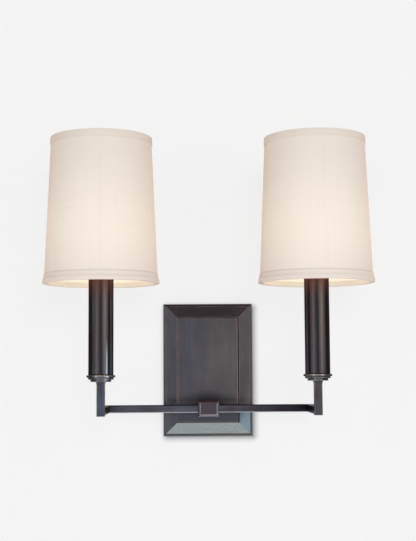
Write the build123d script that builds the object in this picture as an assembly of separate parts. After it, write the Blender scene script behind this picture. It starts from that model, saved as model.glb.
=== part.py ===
from build123d import *
import math
import os

# Double arm wall sconce, in millimetres.
# Origin: centre of the wall plate's back plane, on the wall.
# +X right, +Y into the wall, +Z up, so the lamp faces -Y.

# ---------------------------------------------------------------- driving dimensions
CANDLE_SPACING = 254.0      # centre to centre of the two candles
BAR_SIDE = 9.525            # square tube of the bar, the arms and the stems
BAR_WALL = 0.9
BAR_EDGE = 0.8              # rounded edge of the square tube
BAR_STAND_OFF = 38.0        # wall to the bar's centre line
BAR_DROP = 48.1             # plate centre down to the bar's centre line
ARM_REACH = 83.2            # bar centre line to candle centre line

PLATE_WIDTH = 113.0
PLATE_HEIGHT = 167.0
PLATE_RIM_DEPTH = 10.0      # wall to the flat rim
PLATE_STEP = 1.0            # little step between the rim and the bevel
PLATE_DEPTH = 18.5          # wall to the centre panel
PLATE_METAL = 2.0
RIM_INSET = 3.4             # width of the flat rim
BEVEL_INSET = 17.0          # outer edge to the top of the bevel
GROOVE_INSET = 17.3         # outer edge to the groove round the panel
PANEL_INSET = 19.0          # outer edge to the panel
GROOVE_DEPTH = 1.2
RIM_SOFTENING = 0.5

BLOCK_WIDTH = 26.0
BLOCK_HEIGHT = 20.0
BLOCK_FRONT = 47.0          # wall to the block's front face
BLOCK_CHAMFER = 2.4

STEM_FOOT = 1.0             # stem below the arm's underside
STEM_TOP_Z = -16.8
COLLAR_SIDE = 10.3
CUP_BOTTOM_Z = -13.75
CUP_TIERS = ((12.1, -13.75, -11.1), (14.9, -11.1, -8.7), (16.8, -8.7, -6.0))
CUP_FLOOR_Z = -8.0
TUBE_RADIUS = 14.7
TUBE_WALL = 0.8
TUBE_TOP_Z = 146.0

SHADE_BOTTOM_Z = 101.2
SHADE_TOP_Z = 274.3
SHADE_BOTTOM_RADIUS = 66.9
SHADE_TOP_RADIUS = 59.4
SHADE_LAYER = 0.5           # the fabric and its backing are this thick each
TOP_TRIM_HEIGHT = 8.0
TOP_TRIM_PROUD = 0.8
BOTTOM_TRIM_HEIGHT = 10.4
BOTTOM_HEM_HEIGHT = 4.9
BOTTOM_TRIM_PROUD = 0.8
BOTTOM_HEM_PROUD = 2.0
RING_WIRE = 1.3             # radius of the shade's wires
SPOKE_WIRE = 1.2
CLIP_WIRE = 0.9

SOCKET_RADIUS = 10.0
SOCKET_BOTTOM_Z = 118.0
SOCKET_TOP_Z = 147.0
SHELL_RADIUS = 6.01         # inside of the screw shell
SHELL_WALL = 0.55
CAP_RADIUS = 5.93           # thread crest of the bulb's cap
CAP_ROOT = 5.45
THREAD_PITCH = 2.54
BULB_RADIUS = 17.5
BULB_WIDE_Z = 178.0
BULB_TIP_Z = 225.0
GLASS_WALL = 0.7

LEAD_RADIUS = 1.0
LEAD_OFFSET = 1.3           # the two leads lie this far from the tube's centre line

# ---------------------------------------------------------------- worked out from them
CANDLE_X = CANDLE_SPACING / 2
BAR_Y = -BAR_STAND_OFF
BAR_Z = -BAR_DROP
CANDLE_Y = BAR_Y - ARM_REACH
HALF_BAR = BAR_SIDE / 2
BAR_BORE = BAR_SIDE - 2 * BAR_WALL
SHADE_SLOPE = (SHADE_BOTTOM_RADIUS - SHADE_TOP_RADIUS) / (SHADE_TOP_Z - SHADE_BOTTOM_Z)
SIDES = {"left": -1, "right": 1}

os.makedirs("parts", exist_ok=True)


def save(name, shape):
    """Write one piece to its own file."""
    export_step(shape, "parts/" + name + ".step")


def facing(depth):
    """Sketch plane parallel to the wall, depth in front of it, drawn as seen from the room."""
    return Plane(origin=(0, -depth, 0), x_dir=(1, 0, 0), z_dir=(0, -1, 0))


def slab(width, height, near, far):
    """Rectangular block centred on the plate, from near to far in front of the wall."""
    return extrude(facing(near) * Rectangle(width, height), amount=far - near)


def spun(points, centre):
    """Solid of revolution about a vertical axis, from (radius, z) corners."""
    face = make_face(Plane.XZ * Polyline(*points, close=True))
    return Pos(*centre, 0) * revolve(face, Axis.Z)


def rod(radius, bottom, top, centre):
    """Upright cylinder between two heights."""
    return Pos(*centre, bottom) * extrude(Circle(radius), amount=top - bottom)


def wire(points, bend_radii, radius):
    """Round wire along straight runs joined by arcs."""
    path = FilletPolyline(*points, radius=bend_radii)
    start = Plane(origin=path @ 0, z_dir=path % 0)
    return sweep(start * Circle(radius), path=path)


def square_tube(length, plane):
    """Square tube with rounded edges, drawn on a plane and extruded along its normal."""
    outside = RectangleRounded(BAR_SIDE, BAR_SIDE, BAR_EDGE)
    inside = Rectangle(BAR_BORE, BAR_BORE)
    return extrude(plane * (outside - inside), amount=length)


def shade_radius(z):
    """Outer radius of the fabric cone at a height."""
    return SHADE_BOTTOM_RADIUS - SHADE_SLOPE * (z - SHADE_BOTTOM_Z)


# ---------------------------------------------------------------- wall plate
def plate_form():
    """Rim, step, mitred bevel and raised panel as one solid form."""
    rim = slab(PLATE_WIDTH, PLATE_HEIGHT, 0, PLATE_RIM_DEPTH)
    rim = chamfer(rim.faces().sort_by(Axis.Y)[0].edges(), RIM_SOFTENING)
    step_depth = PLATE_RIM_DEPTH + PLATE_STEP
    step = slab(PLATE_WIDTH - 2 * RIM_INSET, PLATE_HEIGHT - 2 * RIM_INSET, PLATE_RIM_DEPTH, step_depth)
    foot = facing(step_depth) * Rectangle(PLATE_WIDTH - 2 * RIM_INSET, PLATE_HEIGHT - 2 * RIM_INSET)
    crown = facing(PLATE_DEPTH) * Rectangle(PLATE_WIDTH - 2 * BEVEL_INSET, PLATE_HEIGHT - 2 * BEVEL_INSET)
    bevel = loft([foot, crown])
    channel = Rectangle(PLATE_WIDTH - 2 * GROOVE_INSET, PLATE_HEIGHT - 2 * GROOVE_INSET)
    channel -= Rectangle(PLATE_WIDTH - 2 * PANEL_INSET, PLATE_HEIGHT - 2 * PANEL_INSET)
    groove = extrude(facing(PLATE_DEPTH - GROOVE_DEPTH) * channel, amount=2 * GROOVE_DEPTH)
    return rim + step + bevel - groove


HUB_HOLE_RADIUS = 5.1
COVER_SCREW_DEPTH = 5.0     # wall to the cover screws' centre line
COVER_SCREW_RADIUS = 2.05
COVER_HEAD_RADIUS = 3.6
COVER_HEAD_HEIGHT = 1.6
COVER_SCREW_LENGTH = 8.0
COVER_SCREW_SPARE = 0.15    # room round each cover screw in the plate
THREAD_SPARE = 0.02         # and round it in the strap's tapped tab


def cover_screw(side, spare):
    """Flush countersunk screw through the plate's side wall, or its hole when spare is given."""
    edge = PLATE_WIDTH / 2
    shank = COVER_SCREW_RADIUS + spare
    head = COVER_HEAD_RADIUS + spare
    corners = ((0, edge - COVER_SCREW_LENGTH), (shank, edge - COVER_SCREW_LENGTH),
               (shank, edge - COVER_HEAD_HEIGHT), (head, edge), (0, edge))
    face = make_face(Plane.XZ * Polyline(*corners, close=True))
    turned = Rot(0, 90, 0) * revolve(face, Axis.Z)
    if side < 0:
        turned = Rot(0, 0, 180) * turned
    return Pos(0, -COVER_SCREW_DEPTH, 0) * turned


def backplate():
    """Pressed pan of even thickness, open at the back."""
    form = plate_form()
    room = slab(PLATE_WIDTH - 2 * PLATE_METAL, PLATE_HEIGHT - 2 * PLATE_METAL, -PLATE_METAL, PLATE_DEPTH)
    hollow = (Pos(0, PLATE_METAL, 0) * form) & room
    pan = form - hollow
    hub_hole = extrude(facing(0) * Pos(0, BAR_Z) * Circle(HUB_HOLE_RADIUS), amount=PLATE_DEPTH + PLATE_METAL)
    pan -= hub_hole
    for side in SIDES.values():
        pan -= cover_screw(side, COVER_SCREW_SPARE)
    return pan


SCREW_SLOT_WIDTH = 0.9
SCREW_SLOT_DEPTH = 0.8
SCREW_SLOT_REACH = 10.0


def cover_screws():
    """The two flush screws that hold the plate to the strap."""
    pieces = []
    for side in SIDES.values():
        head_x = side * PLATE_WIDTH / 2
        cutter = Box(2 * SCREW_SLOT_DEPTH, SCREW_SLOT_REACH, SCREW_SLOT_WIDTH)
        slot = Pos(head_x, -COVER_SCREW_DEPTH, 0) * cutter
        pieces.append(cover_screw(side, 0) - slot)
    return Compound(children=pieces)


STRAP_METAL = 2.0
STRAP_WIDTH = 20.0
STRAP_HALF_SPAN = 54.1
STRAP_TAB = 7.7             # tabs bent forward from the wall
BOX_SCREW_SPACING = 88.9    # outlet box screws, 3 1/2 in apart
BOX_SLOT_LENGTH = 10.0
BOX_SLOT_WIDTH = 4.8
STRAP_CENTRE_HOLE = 5.2
GROUND_X = 18.0
GROUND_Z = 4.5
GROUND_SHANK = 2.4
GROUND_HEAD = 4.2
GROUND_HEAD_HEIGHT = 3.0
GROUND_SLOT_WIDTH = 1.0
GROUND_SLOT_DEPTH = 0.9
GROUND_WIRE = 0.8
STRAP_BEND = 1.7            # outside radius of the strap's bends


def mounting_strap():
    """Steel crossbar on the wall, with its ends bent forward for the cover screws."""
    span = STRAP_HALF_SPAN
    inner = span - STRAP_METAL
    corners = ((-span, 0), (span, 0), (span, -STRAP_TAB), (inner, -STRAP_TAB), (inner, -STRAP_METAL),
               (-inner, -STRAP_METAL), (-inner, -STRAP_TAB), (-span, -STRAP_TAB))
    face = make_face(Polyline(*corners, close=True))
    strap = Pos(0, 0, -STRAP_WIDTH / 2) * extrude(face, amount=STRAP_WIDTH)
    bends = strap.edges().filter_by(Axis.Z).group_by(Axis.Y)[-1]
    strap = fillet(bends, STRAP_BEND)
    holes = Circle(STRAP_CENTRE_HOLE) + Pos(GROUND_X, GROUND_Z) * Circle(GROUND_SHANK)
    for side in SIDES.values():
        slot = SlotOverall(BOX_SLOT_LENGTH, BOX_SLOT_WIDTH)
        holes += Pos(side * BOX_SCREW_SPACING / 2, 0) * slot
    strap -= extrude(facing(-1) * holes, amount=STRAP_METAL + 2)
    for side in SIDES.values():
        strap -= cover_screw(side, THREAD_SPARE)
    return strap


def ground_screw():
    """Hexagon head screw in the strap, for the earth wire."""
    centre = Pos(GROUND_X, GROUND_Z)
    seat = STRAP_METAL + 2 * GROUND_WIRE
    slot_floor = seat + GROUND_HEAD_HEIGHT - GROUND_SLOT_DEPTH
    shank = extrude(facing(0) * centre * Circle(GROUND_SHANK - THREAD_SPARE), amount=seat)
    head = extrude(facing(seat) * centre * RegularPolygon(GROUND_HEAD, 6), amount=GROUND_HEAD_HEIGHT)
    across = Rectangle(3 * GROUND_HEAD, GROUND_SLOT_WIDTH)
    slot = extrude(facing(slot_floor) * centre * across, amount=STRAP_METAL)
    return shank + head - slot


EARTH_NUT_X = 26.0
EARTH_HOOK = 3.6            # half width of the hook round the ground screw
EARTH_BENDS = [4.0, 4.0, 3.4, 3.4]
NUT_RADIUS = 4.2            # wire connectors
NUT_MOUTH = 3.3
NUT_TIP = 2.7
NUT_LENGTH = 18.0
NUT_CAVITY = 11.0
NUT_CAVITY_TOP = 2.4
NUT_DEPTH = 8.6             # wall to the connectors' centre lines
SUPPLY_NUT_X = 5.5
SUPPLY_NUT_MOUTH_Z = -26.0
EARTH_NUT_MOUTH_Z = -12.0
LEAD_INSERTION = 8.0


def ground_lead():
    """Bare earth wire: from its connector up to a hook round the ground screw."""
    against_strap = -STRAP_METAL - GROUND_WIRE
    points = [(EARTH_NUT_X, -NUT_DEPTH, EARTH_NUT_MOUTH_Z - LEAD_INSERTION),
              (EARTH_NUT_X, -NUT_DEPTH, -9.0),
              (GROUND_X + EARTH_HOOK, against_strap, -2.0),
              (GROUND_X + EARTH_HOOK, against_strap, GROUND_Z + EARTH_HOOK),
              (GROUND_X - EARTH_HOOK, against_strap, GROUND_Z + EARTH_HOOK),
              (GROUND_X - EARTH_HOOK, against_strap, GROUND_Z - EARTH_HOOK)]
    return wire(points, EARTH_BENDS, GROUND_WIRE)


def wire_nut(x, mouth_z, up):
    """Screw-on wire connector with a tapering shell; up is the way its closed end points."""
    shell = ((NUT_MOUTH, 0), (NUT_RADIUS, 0), (NUT_RADIUS - 0.2, 5.0), (NUT_TIP, NUT_LENGTH - 0.8),
             (NUT_TIP - 0.9, NUT_LENGTH), (0, NUT_LENGTH), (0, NUT_CAVITY), (NUT_CAVITY_TOP, NUT_CAVITY))
    nut = spun(shell, (0, 0))
    if not up:
        nut = Rot(180, 0, 0) * nut
    return Pos(x, -NUT_DEPTH, mouth_z) * nut


def wire_nuts():
    """Live, neutral and earth connectors."""
    live = wire_nut(SUPPLY_NUT_X, SUPPLY_NUT_MOUTH_Z, True)
    neutral = wire_nut(-SUPPLY_NUT_X, SUPPLY_NUT_MOUTH_Z, True)
    earth = wire_nut(EARTH_NUT_X, EARTH_NUT_MOUTH_Z, False)
    return Compound(children=[live, neutral, earth])


# ---------------------------------------------------------------- hub
NIPPLE_RADIUS = 5.0
NIPPLE_BORE = 3.3
NIPPLE_SEAT = 31.0          # wall to the blind end of its thread in the block
NIPPLE_END = 10.8
NIPPLE_PLAY = 0.03
WASHER_RADIUS = 8.2
WASHER_THICKNESS = 1.2
WASHER_PLAY = 0.2
WASHER_GAP = 1.0
WASHER_TWIST = 20.0         # the split runs at this slant
HUB_NUT_FLATS = 14.0
HUB_NUT_THICKNESS = 4.0


def hub_disc(radius, near, far):
    """Round plug on the hub's axis, from near to far in front of the wall."""
    return extrude(facing(near) * Pos(0, BAR_Z) * Circle(radius), amount=far - near)


def hub_block():
    """Chamfered block on the panel, with a square channel for the bar."""
    sketch = facing(PLATE_DEPTH) * Pos(0, BAR_Z) * Rectangle(BLOCK_WIDTH, BLOCK_HEIGHT)
    block = extrude(sketch, amount=BLOCK_FRONT - PLATE_DEPTH)
    block = chamfer(block.faces().sort_by(Axis.Y)[0].edges(), BLOCK_CHAMFER)
    across = Plane(origin=(-BLOCK_WIDTH, BAR_Y, BAR_Z), x_dir=(0, 1, 0), z_dir=(1, 0, 0))
    channel = extrude(across * RectangleRounded(BAR_SIDE, BAR_SIDE, BAR_EDGE), amount=2 * BLOCK_WIDTH)
    block -= channel
    block -= hub_disc(NIPPLE_RADIUS + NIPPLE_PLAY, PLATE_DEPTH - 1, NIPPLE_SEAT)
    block -= hub_disc(NIPPLE_BORE, NIPPLE_SEAT - 1, BAR_STAND_OFF)
    return block


def hub_nipple():
    """Threaded tube that clamps the block to the plate and lets the leads through."""
    bore = hub_disc(NIPPLE_BORE, NIPPLE_END - 1, NIPPLE_SEAT + 1)
    return hub_disc(NIPPLE_RADIUS, NIPPLE_END, NIPPLE_SEAT) - bore


def hub_lock_washer():
    """Spring washer between the nut and the plate, split at the top."""
    seat = PLATE_DEPTH - PLATE_METAL
    washer = hub_disc(WASHER_RADIUS, seat - WASHER_THICKNESS, seat)
    washer -= hub_disc(NIPPLE_RADIUS + WASHER_PLAY, 0, PLATE_DEPTH)
    cutter = Box(WASHER_GAP, WASHER_RADIUS, WASHER_RADIUS)
    gap = Pos(0, -seat, BAR_Z + WASHER_RADIUS) * Rot(0, WASHER_TWIST, 0) * cutter
    return washer - gap


def hub_nut():
    """Hexagon nut on the nipple, inside the plate."""
    seat = PLATE_DEPTH - PLATE_METAL - WASHER_THICKNESS
    corner = HUB_NUT_FLATS / math.sqrt(3)
    sketch = facing(seat - HUB_NUT_THICKNESS) * Pos(0, BAR_Z) * RegularPolygon(corner, 6)
    nut = extrude(sketch, amount=HUB_NUT_THICKNESS)
    return nut - hub_disc(NIPPLE_RADIUS + NIPPLE_PLAY, 0, PLATE_DEPTH)


# ---------------------------------------------------------------- bar, arms and stems
def mitre(side):
    """Cutting plane of the bar's corner on one side, facing the arm."""
    return Plane(origin=(side * CANDLE_X, BAR_Y, 0), z_dir=(side, -1, 0))


def cross_bar():
    """Square tube through the block, mitred at both ends, with a wire hole at the hub."""
    reach = CANDLE_X + BAR_SIDE
    start = Plane(origin=(-reach, BAR_Y, BAR_Z), x_dir=(0, 1, 0), z_dir=(1, 0, 0))
    bar = square_tube(2 * reach, start)
    for side in SIDES.values():
        bar = split(bar, bisect_by=mitre(side), keep=Keep.BOTTOM)
    return bar - hub_disc(NIPPLE_BORE, BAR_STAND_OFF - BAR_SIDE, BAR_STAND_OFF)


def forward_arm(side):
    """Square tube from the bar's corner forward to the back of the stem."""
    start = Plane(origin=(side * CANDLE_X, BAR_Y + BAR_SIDE, BAR_Z), x_dir=(1, 0, 0), z_dir=(0, -1, 0))
    arm = square_tube(BAR_SIDE + ARM_REACH - HALF_BAR, start)
    return split(arm, bisect_by=mitre(side), keep=Keep.TOP)


STEM_BOTTOM_Z = BAR_Z - HALF_BAR - STEM_FOOT
PLUG_HEIGHT = 1.6
PLUG_PLAY = 0.02


def stem(side):
    """Upright square tube under the candle, open at the back where the arm meets it."""
    start = Plane(origin=(side * CANDLE_X, CANDLE_Y, STEM_BOTTOM_Z), x_dir=(1, 0, 0), z_dir=(0, 0, 1))
    tube = square_tube(STEM_TOP_Z - STEM_BOTTOM_Z, start)
    opening = Pos(side * CANDLE_X, CANDLE_Y + HALF_BAR, BAR_Z) * Box(BAR_BORE, 3 * BAR_WALL, BAR_BORE)
    return tube - opening


def stem_plugs():
    """Flat plugs that close the feet of the stems."""
    pieces = []
    for side in SIDES.values():
        plug = Box(BAR_BORE - 2 * PLUG_PLAY, BAR_BORE - 2 * PLUG_PLAY, PLUG_HEIGHT)
        pieces.append(Pos(side * CANDLE_X, CANDLE_Y, STEM_BOTTOM_Z + PLUG_HEIGHT / 2) * plug)
    return Compound(children=pieces)


# ---------------------------------------------------------------- candles
CANDLE_NIPPLE_RADIUS = 3.7
CANDLE_NIPPLE_BORE = 2.6
CANDLE_NIPPLE_BOTTOM_Z = -26.0
CANDLE_NIPPLE_TOP_Z = -3.0
CANDLE_NUT_FLATS = 10.0
CANDLE_NUT_THICKNESS = 3.0
COLLAR_SOFTENING = 0.35
BEAD_ROUND = 0.8
BRACKET_METAL = 1.0
BRACKET_Y = 7.5             # upright behind the candle's centre line
BRACKET_WIDTH = 8.0
BRACKET_WINDOW = 3.2
BRACKET_FRONT_Y = -6.5


def stem_collar(centre):
    """Square collar that caps the stem, softened along its lower edges."""
    height = CUP_BOTTOM_Z - STEM_TOP_Z
    collar = Pos(*centre, STEM_TOP_Z + height / 2) * Box(COLLAR_SIDE, COLLAR_SIDE, height)
    collar = chamfer(collar.faces().sort_by(Axis.Z)[0].edges(), COLLAR_SOFTENING)
    return collar - rod(CANDLE_NIPPLE_RADIUS + NIPPLE_PLAY, STEM_TOP_Z - 1, CUP_BOTTOM_Z + 1, centre)


def candle_cup(centre):
    """Turned cup of three beads that widen upwards, with a recess for the candle."""
    cup = None
    for radius, low, high in CUP_TIERS:
        bead = extrude(Circle(radius), amount=high - low)
        bead = Pos(*centre, low) * fillet(bead.edges(), BEAD_ROUND)
        core = rod(radius - BEAD_ROUND, low, high, centre)
        tier = bead + core
        cup = tier if cup is None else cup + tier
    cup -= rod(TUBE_RADIUS + NIPPLE_PLAY, CUP_FLOOR_Z, CUP_TIERS[-1][2] + 1, centre)
    return cup - rod(CANDLE_NIPPLE_RADIUS + NIPPLE_PLAY, CUP_BOTTOM_Z - 1, CUP_FLOOR_Z + 1, centre)


def candle_nipple(centre):
    """Hollow threaded tube through the collar and the cup."""
    outside = rod(CANDLE_NIPPLE_RADIUS, CANDLE_NIPPLE_BOTTOM_Z, CANDLE_NIPPLE_TOP_Z, centre)
    return outside - rod(CANDLE_NIPPLE_BORE, CANDLE_NIPPLE_BOTTOM_Z - 1, CANDLE_NIPPLE_TOP_Z + 1, centre)


def candle_nut(centre):
    """Nut that clamps the socket's bracket and the cup to the stem."""
    low = CUP_FLOOR_Z + BRACKET_METAL
    hexagon = RegularPolygon(CANDLE_NUT_FLATS / math.sqrt(3), 6)
    nut = Pos(*centre, low) * extrude(hexagon, amount=CANDLE_NUT_THICKNESS)
    return nut - rod(CANDLE_NIPPLE_RADIUS + NIPPLE_PLAY, low - 1, low + 4, centre)


def socket_bracket(centre):
    """Bent steel strip that holds the socket up inside the candle tube."""
    top = SOCKET_BOTTOM_Z
    bottom = CUP_FLOOR_Z
    back = BRACKET_Y + BRACKET_METAL
    front = BRACKET_FRONT_Y
    under_top = top - BRACKET_METAL
    over_bottom = bottom + BRACKET_METAL
    corners = ((front, bottom), (back, bottom), (back, top), (front, top), (front, under_top),
               (BRACKET_Y, under_top), (BRACKET_Y, over_bottom), (front, over_bottom))
    face = make_face(Plane.YZ * Polyline(*corners, close=True))
    strip = Pos(-BRACKET_WIDTH / 2, 0, 0) * extrude(face, amount=BRACKET_WIDTH)
    strip = Pos(*centre, 0) * strip
    strip -= rod(CANDLE_NIPPLE_RADIUS + NIPPLE_PLAY, bottom - 1, bottom + 2, centre)
    return strip - rod(BRACKET_WINDOW, top - 2, top + 1, centre)


SHELL_BOTTOM_Z = 127.0
SHELL_TOP_Z = 146.5
CONTACT_Z = 127.6           # top of the socket's centre contact
SOCKET_FLOOR_Z = SHELL_BOTTOM_Z - 0.7
SOCKET_FOOT_RADIUS = SOCKET_RADIUS - 1.2


def socket_body(centre):
    """Moulded candelabra socket with a bore for the screw shell."""
    bore = SHELL_RADIUS + SHELL_WALL + 0.04
    floor = SOCKET_FLOOR_Z
    corners = ((0, SOCKET_BOTTOM_Z), (SOCKET_FOOT_RADIUS, SOCKET_BOTTOM_Z), (SOCKET_FOOT_RADIUS, 124.0),
               (SOCKET_RADIUS, 125.0), (SOCKET_RADIUS, SOCKET_TOP_Z - 0.6), (SOCKET_RADIUS - 0.6, SOCKET_TOP_Z),
               (bore + 0.5, SOCKET_TOP_Z), (bore, SOCKET_TOP_Z - 0.5), (bore, floor), (0, floor))
    return spun(corners, centre)


def socket_shell(centre):
    """Brass screw shell."""
    inner = SHELL_RADIUS
    outer = SHELL_RADIUS + SHELL_WALL
    corners = ((inner, SHELL_BOTTOM_Z), (outer, SHELL_BOTTOM_Z), (outer, SHELL_TOP_Z), (inner, SHELL_TOP_Z))
    return spun(corners, centre)


def socket_contact(centre):
    """Sprung centre contact on the floor of the socket."""
    floor = SOCKET_FLOOR_Z
    corners = ((0, floor), (3.4, floor), (3.4, floor + 0.4), (2.4, floor + 0.4), (1.5, CONTACT_Z - 0.15),
               (0.8, CONTACT_Z), (0, CONTACT_Z))
    return spun(corners, centre)


def candle_tube(centre):
    """Metal candle tube standing in the cup."""
    inner = TUBE_RADIUS - TUBE_WALL
    soft = 0.3
    corners = ((inner, CUP_FLOOR_Z), (TUBE_RADIUS, CUP_FLOOR_Z), (TUBE_RADIUS, TUBE_TOP_Z - soft),
               (TUBE_RADIUS - soft, TUBE_TOP_Z), (inner, TUBE_TOP_Z))
    return spun(corners, centre)


# ---------------------------------------------------------------- bulbs
CAP_BOTTOM_Z = 130.0
CAP_TOP_Z = 148.5
TIP_CONTACT_Z = 128.0       # lowest point of the bulb
THREAD_RINGS = 5


def bulb_cap(centre):
    """Candelabra cap: contact, insulator, rolled thread as rings, and a plain skirt."""
    corners = [(0, TIP_CONTACT_Z), (1.8, TIP_CONTACT_Z), (2.4, TIP_CONTACT_Z + 0.5), (2.6, TIP_CONTACT_Z + 1.0),
               (CAP_ROOT - 0.6, CAP_BOTTOM_Z), (CAP_ROOT, CAP_BOTTOM_Z + 0.6)]
    for number in range(THREAD_RINGS):
        middle = CAP_BOTTOM_Z + THREAD_PITCH * (number + 0.9)
        corners.append((CAP_ROOT, middle - 0.35 * THREAD_PITCH))
        corners.append((CAP_RADIUS, middle - 0.12 * THREAD_PITCH))
        corners.append((CAP_RADIUS, middle + 0.12 * THREAD_PITCH))
        corners.append((CAP_ROOT, middle + 0.35 * THREAD_PITCH))
    corners += [(CAP_ROOT, CAP_TOP_Z - 2.6), (CAP_RADIUS - 0.1, CAP_TOP_Z - 2.2), (CAP_RADIUS - 0.1, CAP_TOP_Z),
                (0, CAP_TOP_Z)]
    return spun(corners, centre)


def bulb_curve(inset):
    """Right half outline of the torpedo glass, drawn inset towards the axis."""
    neck = (5.6 - inset, CAP_TOP_Z)
    points = [neck, (7.2 - inset, CAP_TOP_Z + 3.5), (13.4 - inset, 163.0), (BULB_RADIUS - inset, BULB_WIDE_Z),
              (15.4 - inset, 194.0), (9.6 - inset, 210.0), (4.0 - inset, 220.5), (0, BULB_TIP_Z - 1.4 * inset)]
    return Spline(*points, tangents=[(0.15, 1), (-1, 0.12)])


def bulb_glass(centre):
    """Hollow blown glass of the torpedo bulb."""
    outer = bulb_curve(0)
    inner = bulb_curve(GLASS_WALL)
    foot = Line(outer @ 0, inner @ 0)
    tip = Line(outer @ 1, inner @ 1)
    face = make_face(Plane.XZ * (outer + tip + inner + foot))
    return Pos(*centre, 0) * revolve(face, Axis.Z)


FILAMENT_Z = 180.0
FILAMENT_SPREAD = 8.0
FILAMENT_RISE = 2.4
COIL_RADIUS = 0.55
LEG_RADIUS = 0.35
LEG_BEND = 3.0
MOUNT_TOP_Z = 166.0         # top of the pressed glass stem


def bulb_filament(centre):
    """Pressed glass stem, two support wires and the filament between them."""
    top = MOUNT_TOP_Z
    spread = FILAMENT_SPREAD
    corners = ((0, CAP_TOP_Z), (3.6, CAP_TOP_Z), (2.0, 156.0), (1.6, top - 0.5), (1.1, top), (0, top))
    mount = spun(corners, (0, 0))
    legs = None
    for side in SIDES.values():
        points = [(side * 0.5, 0, top - 4), (side * 1.2, 0, top + 2), (side * spread, 0, FILAMENT_Z)]
        leg = wire(points, [LEG_BEND], LEG_RADIUS)
        legs = leg if legs is None else legs + leg
    arch = ThreePointArc((-spread, 0, FILAMENT_Z), (0, 0, FILAMENT_Z + FILAMENT_RISE), (spread, 0, FILAMENT_Z))
    coil = sweep(Plane(origin=arch @ 0, z_dir=arch % 0) * Circle(COIL_RADIUS), path=arch)
    return Pos(*centre, 0) * (mount + legs + coil)


# ---------------------------------------------------------------- shades
TRIM_TUCK = 6.0             # the trims fold this far inside
TRIM_LAYER = 0.4
INNER_GAP = 0.02
CLOTH_BOTTOM_Z = SHADE_BOTTOM_Z + TRIM_LAYER
CLOTH_TOP_Z = SHADE_TOP_Z - TRIM_LAYER


def cone_band(outer_offset, inner_offset, low, high, centre):
    """Conical band between two heights, offset outwards from the fabric's outer face."""
    corners = ((shade_radius(low) + inner_offset, low), (shade_radius(low) + outer_offset, low),
               (shade_radius(high) + outer_offset, high), (shade_radius(high) + inner_offset, high))
    return spun(corners, centre)


def shade_fabric(centre):
    """Fabric skin of the shade."""
    return cone_band(0, -SHADE_LAYER, CLOTH_BOTTOM_Z, CLOTH_TOP_Z, centre)


def shade_backing(centre):
    """Stiff translucent lining that the fabric is bonded to."""
    return cone_band(-SHADE_LAYER, -2 * SHADE_LAYER, CLOTH_BOTTOM_Z, CLOTH_TOP_Z, centre)


def trim_corners(edge, away, proud, inside):
    """Folded band round an edge of the shade: edge and away are heights, inside its tuck."""
    out_far = shade_radius(away)
    out_edge = shade_radius(edge)
    fold = edge + math.copysign(TRIM_LAYER, away - edge)
    tuck = edge + math.copysign(TRIM_TUCK, away - edge)
    within = -2 * SHADE_LAYER - inside
    return [(out_far + INNER_GAP, away), (out_far + proud, away), (out_edge + proud, edge),
            (out_edge + within - TRIM_LAYER, edge), (shade_radius(tuck) + within - TRIM_LAYER, tuck),
            (shade_radius(tuck) + within, tuck), (shade_radius(fold) + within, fold),
            (shade_radius(fold) + INNER_GAP, fold)]


RING_GAP = 0.15             # ring to lining, and ring to the fold of the trim
RING_REACH = 2 * RING_WIRE + 3 * RING_GAP


def ring_radius(z):
    """Centre-line radius of a wire ring just inside the lining at a height."""
    return shade_radius(z) - 2 * SHADE_LAYER - RING_WIRE - RING_GAP


TOP_RING_Z = SHADE_TOP_Z - TRIM_LAYER - RING_WIRE - RING_GAP
BOTTOM_RING_Z = SHADE_BOTTOM_Z + TRIM_LAYER + RING_WIRE + RING_GAP
HUB_Z = 233.5               # centre of the fitter's hub washer
HUB_RADIUS = 8.0
HUB_THICKNESS = 2.0
HUB_BORE = 1.97
SPOKE_COUNT = 3
SPOKE_LEVEL = 13.0          # spokes leave the hub level to this radius
SPOKE_BEND = 5.0
TRIM_NOTCH = 0.15           # room round each spoke in the trim


def spokes(radius, centre):
    """Three wires from the hub up to the top ring."""
    points = [(HUB_RADIUS - 2.5, 0, HUB_Z), (SPOKE_LEVEL, 0, HUB_Z), (ring_radius(TOP_RING_Z), 0, TOP_RING_Z)]
    leg = wire(points, [SPOKE_BEND], radius)
    turned = [Rot(0, 0, 90 + number * 360 / SPOKE_COUNT) * leg for number in range(SPOKE_COUNT)]
    return Pos(*centre, 0) * (turned[0] + turned[1:])


def top_trim(centre):
    """Fabric tape folded over the top edge and the ring, notched for the spokes."""
    trim = spun(trim_corners(SHADE_TOP_Z, SHADE_TOP_Z - TOP_TRIM_HEIGHT, TOP_TRIM_PROUD, RING_REACH), centre)
    return trim - spokes(SPOKE_WIRE + TRIM_NOTCH, centre)


def bottom_trim(centre):
    """Fabric tape folded round the bottom edge, with a thicker hem along its lower half."""
    band_top = SHADE_BOTTOM_Z + BOTTOM_TRIM_HEIGHT
    band = spun(trim_corners(SHADE_BOTTOM_Z, band_top, BOTTOM_TRIM_PROUD, RING_REACH), centre)
    hem_top = SHADE_BOTTOM_Z + BOTTOM_HEM_HEIGHT
    hem = cone_band(BOTTOM_HEM_PROUD, BOTTOM_TRIM_PROUD - 0.1, SHADE_BOTTOM_Z, hem_top, centre)
    return band + hem


def ring(z, centre):
    """Round wire ring just inside the lining at a height."""
    return Pos(*centre, z) * Torus(ring_radius(z), RING_WIRE)


def bottom_ring(centre):
    """Wire ring that stiffens the bottom edge."""
    return ring(BOTTOM_RING_Z, centre)


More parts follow.
